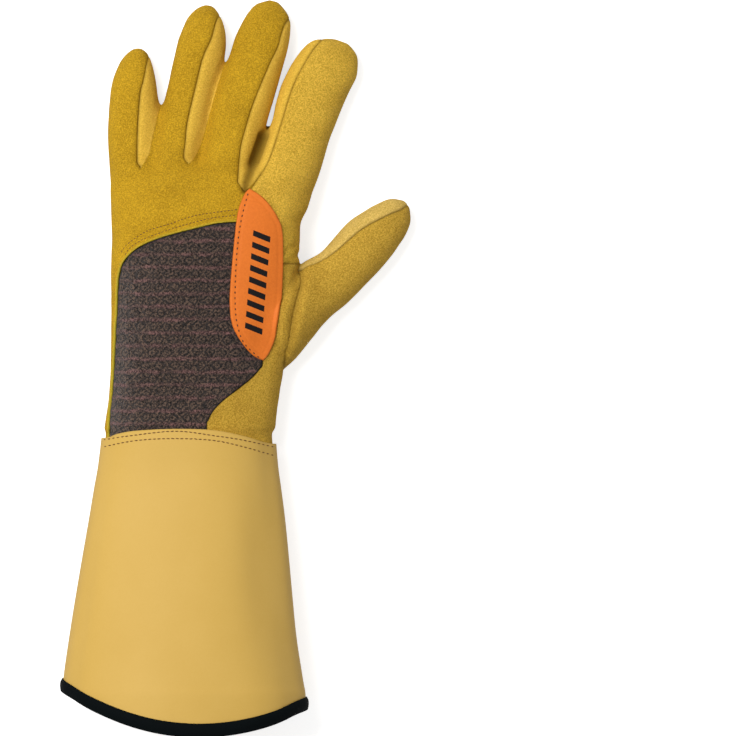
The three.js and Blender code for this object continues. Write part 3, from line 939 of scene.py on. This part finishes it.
def add_patch(bm, material):
    """The patch is a raised layer with a rounded rim."""
    part = cut_piece(bm, PATCH_FIELD, lambda points: points[:, 2] > PALM_THICKNESS / 3)
    bmesh.ops.subdivide_edges(part, edges=part.edges, cuts=2, use_grid_fill=True)
    inner = [vert for vert in part.verts if not vert.is_boundary]
    for _ in range(PATCH_ROUNDS):
        bmesh.ops.smooth_vert(part, verts=inner, factor=0.5,
                              use_axis_x=True, use_axis_y=True, use_axis_z=True)
    inward = -PATCH_FIELD(all_points(part))
    crown = 1 - (1 - np.clip(inward / PATCH_RIM, 0, 1)) ** 2
    groove = bump_of(inward - 3 * MM, 0.8 * MM)
    move_out(part, SEAM_GAP + PATCH_THICKNESS * (0.3 + 0.7 * crown) - 0.12 * MM * groove)
    skin = BVHTree.FromBMesh(part)
    finish_piece(part, "patch_layer", material, "orange_patch", ["knuckle_patch"], 1.2 * MM)
    return skin


TAG_FIELD = outline_field([on_palm(*pair) for pair in ((0.02, -0.56), (0.02, -0.435), (-0.13, -0.435),
                                                       (-0.13, -0.56))])


def add_tag(bm, material):
    """A short tape in the little-finger side seam."""
    part = cut_piece(bm, TAG_FIELD, below_seam)
    move_out(part, np.full(len(part.verts), SEAM_GAP + 1 * MM))
    finish_piece(part, "tag_tape", material, "orange_tag", ["side_tag"], 0.8 * MM)


def cuff_top(turn, x):
    """The top edge of the cuff, from the back panel's line to the front panel's."""
    lower = 0.5 - 0.5 * math.sin(math.radians(turn))
    share = min(max((lower - 0.52) / 0.1, 0), 1)
    share = share * share * (3 - 2 * share)
    return (1 - share) * np.interp(x, *BACK_EDGE) + share * np.interp(x, *FRONT_EDGE)


# Soft bends in the smooth leather: place along, turn in degrees, and their spreads and depth
CUFF_BENDS = table(
    "along reach turn spread depth",
    (0.5, 0.8, 24, 15, 2.4 * MM),
    (0.6, 0.5, 152, 9, 0.9 * MM),
    (0.9, 0.3, 70, 14, 1.0 * MM),
    (0.1, 0.12, 96, 20, 0.5 * MM),
    (0.75, 0.25, 120, 16, 0.8 * MM),
)


def wrapped_grid(around, along, place):
    """A grid rolled into a sleeve; place gives the point for a turn in degrees and a share along."""
    bm = bmesh.new()
    bmesh.ops.create_grid(bm, x_segments=around, y_segments=along, size=0.5)
    for vert in bm.verts:
        vert.co = place((vert.co.x + 0.5) * 360 - 90, vert.co.y + 0.5)
    bmesh.ops.remove_doubles(bm, verts=bm.verts, dist=HAIR)
    bmesh.ops.recalc_face_normals(bm, faces=bm.faces)
    return bm


def cuff_surface(turn, share):
    x = cuff_point(0.5, turn).x
    for _ in range(3):
        top = cuff_top(turn, x)
        height = top + (hem_height(x) - top) * share
        point = cuff_point(-height / CUFF_LENGTH, turn)
        x = point.x
    turned = math.radians(turn)
    bend = dent_depth(CUFF_BENDS, -height / CUFF_LENGTH, turn)
    point = Vector((point.x, height, point.z)) - Vector((math.cos(turned), 0, math.sin(turned))) * bend
    point.z = max(point.z, CUFF_REST)
    return point


CUFF_FRONT_OUTLINE = [
    Vector((across * HEM_WIDTH, -along * CUFF_LENGTH))
    for along, across in ((-0.3, -0.43), (0.18, -0.42), (0.6, -0.44), (1.2, -0.455), (1.2, 0.25), (0.6, 0.24),
                          (0.18, 0.22), (-0.3, 0.2))
]
CUFF_FRONT_FIELD = outline_field(CUFF_FRONT_OUTLINE)


def add_cuff(materials):
    around = round(2.9 * HEM_WIDTH / CUFF_STEP)
    bm = wrapped_grid(around, round(CUFF_LENGTH / CUFF_STEP), cuff_surface)
    low = HEM_HEIGHT / 4
    cut_along(bm, CUFF_FRONT_FIELD, lambda points: points[:, 2] < low)
    centres = face_centres(bm)
    front = (CUFF_FRONT_FIELD(centres) < 0) & (centres[:, 2] < low)
    seam = [vert.co.copy() for vert in bm.verts
            if len({bool(front[face.index]) for face in vert.link_faces}) == 2]
    points = all_points(bm)
    to_seam = nearest_distance(points, seam)
    step = -0.9 * MM * bump_of(to_seam, 1.0 * MM) + 0.3 * MM * bump_of(to_seam - 3 * MM, 2 * MM)
    step += 0.3 * MM * uneven(points, 45 * MM, 3.0)
    write_layer(bm, "seam", bump_of(to_seam, 1.4 * MM))
    move_out(bm, step, CUFF_REST)
    skin = BVHTree.FromBMesh(bm)
    leather = materials["cuff_leather"]
    for name, faces in (("cuff_back", ~front), ("cuff_front", front)):
        finish_piece(kept_faces(bm, faces), f"{name}_leather", leather, "cuff_leather", [name], CUFF_LEATHER)
    bm.free()
    return skin


def add_binding(material):
    """A folded tape round the hem, as a U in section."""
    middle = 0.5 * CUFF_LEATHER

    def place(turn, share):
        edge = cuff_surface(turn, 1)
        above = cuff_surface(turn, 0.97)
        up = (above - edge).normalized()
        ahead = (cuff_surface(turn + 1, 1) - cuff_surface(turn - 1, 1)).normalized()
        outward = ahead.cross(up).normalized()
        if outward.dot(Vector((math.cos(math.radians(turn)), 0, math.sin(math.radians(turn))))) < 0:
            outward.negate()
        leg = (abs(2 * share - 1) - 0.42) / 0.58
        side = 1 if share < 0.5 else -1
        reach = middle + BINDING_THICKNESS
        if leg > 0:
            swell = 0.45 * MM * math.sin(math.pi * min(leg * 1.1, 1))
            rise = -SEAM_GAP + leg * (BINDING_HEIGHT - BINDING_THICKNESS - SEAM_GAP)
            across = side * (reach + swell - 0.6 * MM * max(leg - 0.75, 0) / 0.25)
        else:
            bend = math.pi / 2 * (2 * share - 1) / 0.42
            across = -math.sin(bend) * reach
            rise = -SEAM_GAP - math.cos(bend) * BINDING_THICKNESS
        ripple = 0.12 * MM * noise.noise(Vector((turn / 5, share * 3, 2.0)))
        point = edge + outward * (across - middle + ripple) + up * rise
        point.z = max(point.z, 0)
        return point

    bm = wrapped_grid(300, 28, place)
    finish_piece(bm, "hem_tape", material, "black_binding", ["hem_binding"], 1.0 * MM)


# The stitches on each skin, and their rows: lines in the plan, some of them on the underside
STITCHES = {
    "hand": dict(pitch=2.0 * MM, length=1.5 * MM, radius=0.2 * MM),
    "patch": dict(pitch=3.0 * MM, length=1.4 * MM, radius=0.26 * MM),
    "cuff": dict(pitch=2.5 * MM, length=2.1 * MM, radius=0.25 * MM),
}


def under_cuff_line(apart):
    """A line at an even distance from the front panel's top edge."""
    edge = zip(FRONT_EDGE[0][6:-6:3], FRONT_EDGE[1][6:-6:3])
    return smooth_line([Vector((x, y - apart)) for x, y in edge])


STITCH_ROWS = table(
    "skin below line",
    ("hand", False, palm_line(
        (0.908, 0.139), (0.894, 0.01), (0.881, -0.085), (0.852, -0.193), (0.826, -0.3), (0.804, -0.353),
        (0.765, -0.42), (0.73, -0.45))),
    ("hand", False, palm_line(
        (0.884, 0.1285), (0.873, 0.01), (0.848, -0.1165), (0.815, -0.245), (0.788, -0.335), (0.755, -0.4),
        (0.72, -0.43))),
    ("patch", False, palm_line(
        (0.978, 0.192), (0.874, 0.1585), (0.768, 0.139), (0.63, 0.1275), (0.516, 0.1265), (0.438, 0.139),
        (0.37, 0.1725), (0.308, 0.254))),
    ("cuff", False, palm_line(
        (-0.016, -0.54), (0.001, -0.4), (0.02, -0.1715), (0.002, 0.0195), (-0.0172, 0.1725),
        (-0.048, 0.335))),
    ("cuff", False, palm_line(
        (-0.044, -0.537), (-0.0172, -0.365), (-0.0096, -0.1715), (-0.0172, 0.0195), (-0.044, 0.1725),
        (-0.082, 0.33))),
    ("cuff", True, under_cuff_line(2.5 * MM)),
    ("cuff", True, under_cuff_line(7.5 * MM)),
)


def steps_along(line, pitch):
    """Points and directions at even steps along a line."""
    travelled = np.concatenate([[0], np.cumsum([(end - start).length for start, end in zip(line, line[1:])])])
    for place in np.arange(pitch / 2, travelled[-1], pitch):
        number = min(int(np.searchsorted(travelled, place)), len(line) - 1)
        start, end = line[number - 1], line[number]
        share = (place - travelled[number - 1]) / max(travelled[number] - travelled[number - 1], 1e-9)
        yield start.lerp(end, share), (end - start).normalized()


def add_stitches(name, skin, material):
    bm = bmesh.new()
    stitch = STITCHES[name]
    for row in STITCH_ROWS:
        if row["skin"] != name:
            continue
        height, fall = (-0.1, Vector((0, 0, 1))) if row["below"] else (0.3, Vector((0, 0, -1)))
        for middle, ahead in steps_along(row["line"], stitch["pitch"]):
            ends = []
            for side in (-0.5, 0.5):
                point = middle + ahead * (side * stitch["length"])
                ends.append(skin.ray_cast(Vector((point.x, point.y, height)), fall)[:2])
            if ends[0][0] is None or ends[1][0] is None:
                continue
            along = (ends[1][0] - ends[0][0]).normalized()
            normal = (ends[0][1] + ends[1][1]).normalized()
            if normal.dot(fall) > 0:
                normal.negate()
            sideways = normal.cross(along).normalized()
            normal = along.cross(sideways)
            centre = (ends[0][0] + ends[1][0]) / 2 + normal * 0.3 * stitch["radius"]
            turn = Matrix((along, sideways, normal)).transposed().to_4x4()
            size = Matrix.Diagonal((stitch["length"] / 2, stitch["radius"] * 1.3, stitch["radius"], 1))
            tilt = Matrix.Rotation(random.uniform(-0.12, 0.12), 4, "Z")
            bmesh.ops.create_uvsphere(bm, u_segments=6, v_segments=5, radius=1,
                                      matrix=Matrix.Translation(centre) @ turn @ tilt @ size)
    finish_piece(bm, f"{name}_stitches", material, "thread")


def give(tree, socket, value):
    """Links another socket, or sets a plain value or a colour."""
    if isinstance(value, bpy.types.NodeSocket):
        tree.links.new(value, socket)
    elif socket.type == "RGBA":
        socket.default_value = (*value, 1)
    else:
        socket.default_value = value


def new_material(name, **values):
    """Underscores in the names of the shader's sockets stand for spaces."""
    material = bpy.data.materials.new(name)
    material.use_nodes = True
    shader = material.node_tree.nodes["Principled BSDF"]
    for socket, value in values.items():
        give(material.node_tree, shader.inputs[socket.replace("_", " ")], value)
    return material, shader


def mixed(tree, factor, first, second):
    """A colour between two others; each may be a socket or a colour."""
    node = tree.nodes.new("ShaderNodeMix")
    node.data_type = "RGBA"
    for number, value in ((0, factor), (6, first), (7, second)):
        give(tree, node.inputs[number], value)
    return node.outputs[2]


def noise_value(tree, place, scale, detail=3.0, roughness=0.55):
    node = tree.nodes.new("ShaderNodeTexNoise")
    for name, value in (("Vector", place), ("Scale", scale), ("Detail", detail), ("Roughness", roughness)):
        give(tree, node.inputs[name], value)
    return node.outputs["Fac"]


def spread_out(tree, value, low, high):
    """Stretches a value from low and high to 0 and 1."""
    node = tree.nodes.new("ShaderNodeMapRange")
    for name, part in (("From Min", low), ("From Max", high), ("Value", value)):
        give(tree, node.inputs[name], part)
    return node.outputs["Result"]


def math_node(tree, operation, *values):
    node = tree.nodes.new("ShaderNodeMath")
    node.operation = operation
    for number, value in enumerate(values):
        give(tree, node.inputs[number], value)
    return node.outputs[0]


def attribute(tree, name):
    node = tree.nodes.new("ShaderNodeAttribute")
    node.attribute_name = name
    return node.outputs["Fac"]


def bumped(tree, shader, height, strength, distance):
    node = tree.nodes.new("ShaderNodeBump")
    node.inputs["Strength"].default_value = strength
    node.inputs["Distance"].default_value = distance
    tree.links.new(height, node.inputs["Height"])
    tree.links.new(node.outputs["Normal"], shader.inputs["Normal"])


def object_place(tree):
    return tree.nodes.new("ShaderNodeTexCoord").outputs["Object"]


def split_up(tree, place):
    """The three parts of a place, as sockets."""
    split = tree.nodes.new("ShaderNodeSeparateXYZ")
    tree.links.new(place, split.inputs[0])
    return split.outputs


def new_group(name, inputs, outputs):
    """An empty node group; returns it with the sockets that come in and those that go out."""
    group = bpy.data.node_groups.new(name, "ShaderNodeTree")
    for way, sockets in (("INPUT", inputs), ("OUTPUT", outputs)):
        for socket, kind in sockets.items():
            group.interface.new_socket(name=socket, in_out=way, socket_type=f"NodeSocket{kind}")
    return group, group.nodes.new("NodeGroupInput").outputs, group.nodes.new("NodeGroupOutput").inputs


def placed(tree, group, **values):
    """Places a node group; underscores in the names of its sockets stand for spaces."""
    node = tree.nodes.new("ShaderNodeGroup")
    node.node_tree = group
    for name, value in values.items():
        give(tree, node.inputs[name.replace("_", " ")], value)
    return node.outputs


def grain_group():
    """Two tints mixed by broad clouds and fine specks, and a height that follows the specks."""
    tree, given, result = new_group(
        "grain",
        {"Place": "Vector", "Light": "Color", "Dark": "Color", "Cloud Scale": "Float", "Speck Scale": "Float",
         "Cloud Share": "Float"},
        {"Colour": "Color", "Height": "Float"},
    )
    clouds = spread_out(tree, noise_value(tree, given["Place"], given["Cloud Scale"], 4), 0.35, 0.68)
    specks = spread_out(tree, noise_value(tree, given["Place"], given["Speck Scale"], 5, 0.8), 0.4, 0.6)
    fibre_scale = math_node(tree, "MULTIPLY", given["Speck Scale"], 2.1)
    fibres = noise_value(tree, given["Place"], fibre_scale, 2)
    difference = math_node(tree, "SUBTRACT", clouds, specks)
    blend = math_node(tree, "MULTIPLY_ADD", difference, given["Cloud Share"], specks)
    give(tree, result["Colour"], mixed(tree, blend, given["Dark"], given["Light"]))
    give(tree, result["Height"], math_node(tree, "MULTIPLY_ADD", specks, 0.9, fibres))
    return tree


def edge_and_shade_group():
    """Darkens the seams, paints shade into the thumb's crease and the deep fold, and tints the raw edges, a
    painted shadow on the knit along the suede's edges; the two masks come with the mesh.
    """
    tree, given, result = new_group(
        "edges",
        {"Colour": "Color", "Seam Colour": "Color", "Seam Share": "Float", "Edge Colour": "Color",
         "Edge Share": "Float"},
        {"Colour": "Color"},
    )
    seam = math_node(tree, "MULTIPLY", attribute(tree, "seam"), given["Seam Share"])
    edge = math_node(tree, "MULTIPLY", attribute(tree, "raw"), given["Edge Share"])
    shaded = mixed(tree, seam, given["Colour"], given["Seam Colour"])
    give(tree, result["Colour"], mixed(tree, edge, shaded, given["Edge Colour"]))
    return tree


GRAIN = grain_group()
EDGES_AND_SHADE = edge_and_shade_group()

# The colour of a suede seam, and of the painted shade in the thumb's crease and the deep fold, as a share of
# the suede's dark tint
SEAM_AND_SHADE_TINT = 0.35


def suede(name, light, dark, raw_edge, raw_share=0.6, under=None):
    """Napped leather; under is a second pair of tints for what faces the palm side."""
    material, shader = new_material(name, Roughness=0.92, Sheen_Weight=0.3, Sheen_Roughness=0.5,
                                    Specular_IOR_Level=0.12, Sheen_Tint=light)
    tree = material.node_tree
    place = object_place(tree)
    values = {"Place": place, "Cloud_Scale": 60, "Speck_Scale": 1250, "Cloud_Share": 0.2}
    nap = placed(tree, GRAIN, Light=light, Dark=dark, **values)
    colour = nap["Colour"]
    # On the thumb front the part above the under tints is painted paler, a painted highlight on its upper
    # flank.
    if under:
        height = split_up(tree, place)[2]
        lower = placed(tree, GRAIN, Light=under[0], Dark=under[1], **values)["Colour"]
        colour = mixed(tree, spread_out(tree, height, 8 * MM, 12 * MM), lower, colour)
    shaded = placed(tree, EDGES_AND_SHADE, Colour=colour, Seam_Colour=tuple(SEAM_AND_SHADE_TINT * part for part in dark),
                    Seam_Share=0.55, Edge_Colour=raw_edge, Edge_Share=raw_share)
    tree.links.new(shaded["Colour"], shader.inputs["Base Color"])
    bumped(tree, shader, nap["Height"], 0.8, 0.35 * MM)
    return material


def smooth_leather():
    material, shader = new_material("smooth_leather", Roughness=0.6, Specular_IOR_Level=0.2)
    tree = material.node_tree
    grain = placed(tree, GRAIN, Place=object_place(tree), Light=(0.59, 0.375, 0.088),
                   Dark=(0.56, 0.35, 0.074), Cloud_Scale=22, Speck_Scale=900, Cloud_Share=0.7)
    shaded = placed(tree, EDGES_AND_SHADE, Colour=grain["Colour"], Seam_Colour=(0.3, 0.16, 0.03), Seam_Share=0.5)
    tree.links.new(shaded["Colour"], shader.inputs["Base Color"])
    bumped(tree, shader, grain["Height"], 0.12, 0.12 * MM)
    return material


def thread_bands(tree, place, way, scale, distortion):
    bands = tree.nodes.new("ShaderNodeTexWave")
    bands.bands_direction = way
    for name, value in (("Vector", place), ("Scale", scale), ("Distortion", distortion)):
        give(tree, bands.inputs[name], value)
    return bands.outputs["Fac"]


def knit_cloth():
    """Dark strokes in rows of lozenges on a flecked ground, with uneven pinkish threads between the rows."""
    material, shader = new_material("jacquard_knit", Roughness=0.9, Sheen_Weight=0.15, Specular_IOR_Level=0.2)
    tree = material.node_tree
    maths = partial(math_node, tree)
    place = object_place(tree)
    sideways, upwards, _ = split_up(tree, place)
    waver = noise_value(tree, place, 520, 2)
    sway = noise_value(tree, place, 80, 2)
    across = maths("MULTIPLY_ADD", waver, 0.45, maths("DIVIDE", sideways, FIGURE_WIDTH))
    across = maths("MULTIPLY_ADD", sway, 1.2, across)
    along = maths("MULTIPLY_ADD", sway, 0.4, maths("DIVIDE", upwards, ROW_HEIGHT))
    along = maths("MULTIPLY_ADD", waver, 0.22, along)
    shifted = maths("MULTIPLY_ADD", maths("FLOOR", along), 0.5, across)
    from_middle = maths("ABSOLUTE", maths("SUBTRACT", maths("FRACT", shifted), 0.5))
    from_row = maths("ABSOLUTE", maths("SUBTRACT", maths("FRACT", along), 0.5))
    lozenge = maths("MULTIPLY_ADD", from_middle, 1.1, from_row)
    ripple = maths("ABSOLUTE", maths("SINE", maths("MULTIPLY", lozenge, 7.6)))
    ground_share = spread_out(tree, ripple, 0.42, 0.85)
    patchy = spread_out(tree, noise_value(tree, place, 130, 3), 0.4, 0.6)
    band = maths("MULTIPLY", spread_out(tree, from_row, 0.3, 0.46), maths("MULTIPLY_ADD", patchy, 0.7, 0.25))
    threads = maths("MULTIPLY", thread_bands(tree, place, "X", 350, 2.5),
                    thread_bands(tree, place, "Y", 420, 1.5))
    specks = spread_out(tree, noise_value(tree, place, 1050, 3, 0.85), 0.45, 0.57)
    mottle = maths("MULTIPLY_ADD", specks, 0.8, maths("MULTIPLY", threads, 0.3))
    ground = mixed(tree, mottle, (0.009, 0.006, 0.004), (0.175, 0.11, 0.078))
    stroke = mixed(tree, mottle, (0.003, 0.002, 0.002), (0.045, 0.033, 0.028))
    pink = mixed(tree, mottle, (0.03, 0.013, 0.012), (0.3, 0.145, 0.132))
    colour = mixed(tree, band, mixed(tree, ground_share, stroke, ground), pink)
    # Painted shadow: the knit darkens to near black along the suede's edges that lie over it.
    shaded = placed(tree, EDGES_AND_SHADE, Colour=colour, Edge_Colour=(0.004, 0.003, 0.003), Edge_Share=0.85)
    tree.links.new(shaded["Colour"], shader.inputs["Base Color"])
    height = maths("MULTIPLY_ADD", ground_share, 0.5, mottle)
    bumped(tree, shader, height, 0.8, 0.45 * MM)
    return material


def bar_mask(tree, place, bars):
    """One across plain bars in a slanted column, and nought elsewhere."""
    turn = tree.nodes.new("ShaderNodeMapping")
    turn.vector_type = "TEXTURE"
    turn.inputs["Location"].default_value = ORIGIN + bars["middle"]
    turn.inputs["Rotation"].default_value = (0, 0, math.radians(bars["slant"]))
    tree.links.new(place, turn.inputs["Vector"])
    maths = partial(math_node, tree)
    sideways, upwards, _ = split_up(tree, turn.outputs[0])
    half_column = bars["count"] * bars["pitch"] / 2
    leaning = maths("MULTIPLY_ADD", sideways, bars["lean"], upwards)
    within = maths("LESS_THAN", maths("ABSOLUTE", sideways), bars["width"] / 2)
    column = maths("LESS_THAN", maths("ABSOLUTE", leaning), half_column)
    share = maths("FRACT", maths("DIVIDE", maths("ADD", leaning, half_column), bars["pitch"]))
    bar = maths("LESS_THAN", share, bars["filled"])
    return maths("MULTIPLY", bar, maths("MULTIPLY", within, column))


# Plain black bars on the patch, printed in a column beside the stitches
PATCH_BARS = {
    "middle": on_palm(0.627, 0.24).to_3d(),
    "slant": -5,
    "width": 9.6 * MM,
    "count": 9,
    "pitch": 6.3 * MM,
    "filled": 0.5,
    "lean": 0.3,
}


def coated(name, light, dark, roughness, scale, shine=0.3, bars=None):
    """A plain finish with a slight grain: the patch, the tag, the binding and the thread."""
    material, shader = new_material(name, Roughness=roughness, Specular_IOR_Level=shine)
    tree = material.node_tree
    place = object_place(tree)
    grain = placed(tree, GRAIN, Place=place, Light=light, Dark=dark, Cloud_Scale=40, Speck_Scale=scale,
                   Cloud_Share=0.3)
    shown = grain["Colour"]
    if bars:
        shown = mixed(tree, bar_mask(tree, place, bars), shown, (0.006, 0.005, 0.005))
    tree.links.new(shown, shader.inputs["Base Color"])
    bumped(tree, shader, grain["Height"], 0.2, 0.12 * MM)
    return material


def add_floor():
    """A pale sheet that looks white to the camera and throws less light back on the glove."""
    bm = bmesh.new()
    bmesh.ops.create_grid(bm, x_segments=1, y_segments=1, size=4)
    floor = new_object("floor", bm)
    material, shader = new_material("pale_floor", Roughness=0.9, Specular_IOR_Level=0.1,
                                    Base_Color=(0.7, 0.7, 0.7), Emission_Color=(1, 1, 1))
    tree = material.node_tree
    seen = tree.nodes.new("ShaderNodeLightPath").outputs["Is Camera Ray"]
    tree.links.new(math_node(tree, "MULTIPLY", seen, 0.7), shader.inputs["Emission Strength"])
    floor.data.materials.append(material)


# Soft lights that face the glove: place, size and power
LIGHTS = table(
    "name place size power",
    ("softbox_left", (-0.75, 0.5, 1.8), 1.0, 38),
    ("softbox_right", (1.1, -0.3, 1.6), 1.4, 1),
)


def add_light(name, place, size, power):
    light = bpy.data.lights.new(name, "AREA")
    light.size = size
    light.energy = power
    lamp = bpy.data.objects.new(name, light)
    lamp.location = place
    lamp.rotation_euler = (-Vector(place)).to_track_quat("-Z", "Y").to_euler()
    bpy.context.scene.collection.objects.link(lamp)


CAMERA_HEIGHT = 4.5
CAMERA_PLACE = Vector((86.1 * MM, 37.1 * MM, CAMERA_HEIGHT))
SENSOR_WIDTH = 36
PICTURE_WIDTH = 0.405


def add_camera():
    """Straight above, the fingertips at the top of the picture."""
    camera = bpy.data.cameras.new("camera")
    camera.sensor_width = SENSOR_WIDTH
    camera.lens = SENSOR_WIDTH * CAMERA_HEIGHT / PICTURE_WIDTH
    camera.clip_end = 20
    eye = bpy.data.objects.new("camera", camera)
    eye.location = ORIGIN + CAMERA_PLACE
    bpy.context.scene.collection.objects.link(eye)
    bpy.context.scene.camera = eye


def set_world():
    world = bpy.data.worlds.new("studio")
    world.use_nodes = True
    world.node_tree.nodes["Background"].inputs["Color"].default_value = (1, 1, 1, 1)
    world.node_tree.nodes["Background"].inputs["Strength"].default_value = 0.4
    bpy.context.scene.world = world
    bpy.context.scene.view_settings.view_transform = "Standard"


add_camera()
add_floor()
for light_row in LIGHTS:
    add_light(**light_row)
set_world()

PALE_EDGE = (0.5, 0.46, 0.03)
DARK_EDGE = (0.2, 0.12, 0.02)
MATERIALS = {
    "ochre_suede": suede("ochre_suede", (0.76, 0.445, 0.022), (0.33, 0.175, 0.006), (0.62, 0.54, 0.05)),
    # Painted light: the tan suede's copy for the wrist wrap and thumb back is darker, and its copy for the
    # index back lighter, for light that falls off towards the wrist.
    "tan_suede": suede("tan_suede", (0.8, 0.5, 0.068), (0.35, 0.185, 0.015), DARK_EDGE, 0.3),
    "index_suede": suede("index_suede", (0.96, 0.61, 0.078), (0.43, 0.24, 0.018), DARK_EDGE, 0.3),
    "fourchette_suede": suede("pale_suede", (1.0, 0.65, 0.09), (0.68, 0.38, 0.034), PALE_EDGE),
    "palm_suede": suede("palm_suede", (0.66, 0.5, 0.07), (0.4, 0.27, 0.022), PALE_EDGE),
    # Painted highlight: the thumb front is palm suede, with the palm's tints low down and paler tan tints on
    # its upper flank, where light catches the nap.
    "thumb_front_suede": suede("thumb_front_suede", (0.97, 0.68, 0.18), (0.56, 0.34, 0.055), PALE_EDGE,
                               under=((0.4, 0.27, 0.022), (0.66, 0.5, 0.07))),
    "cuff_leather": smooth_leather(),
    "knit": knit_cloth(),
    "orange_patch": coated("orange_coating", (0.74, 0.18, 0.02), (0.66, 0.15, 0.016), 0.6, 800, 0.2,
                           PATCH_BARS),
    "orange_tag": coated("tag_tape", (0.75, 0.12, 0.015), (0.6, 0.09, 0.01), 0.7, 1200),
    "black_binding": coated("black_tape", (0.0016, 0.0034, 0.004), (0.001, 0.002, 0.0024), 0.8, 1400, 0.06),
    "thread": coated("brown_thread", (0.15, 0.06, 0.013), (0.1, 0.038, 0.008), 0.6, 2000),
    "patch_thread": coated("dark_thread", (0.05, 0.02, 0.01), (0.03, 0.012, 0.008), 0.6, 2000),
}
hand_skin, patch_skin = add_hand(MATERIALS)
cuff_skin = add_cuff(MATERIALS)
add_binding(MATERIALS["black_binding"])
add_stitches("hand", hand_skin, MATERIALS["thread"])
add_stitches("patch", patch_skin, MATERIALS["patch_thread"])
add_stitches("cuff", cuff_skin, MATERIALS["thread"])
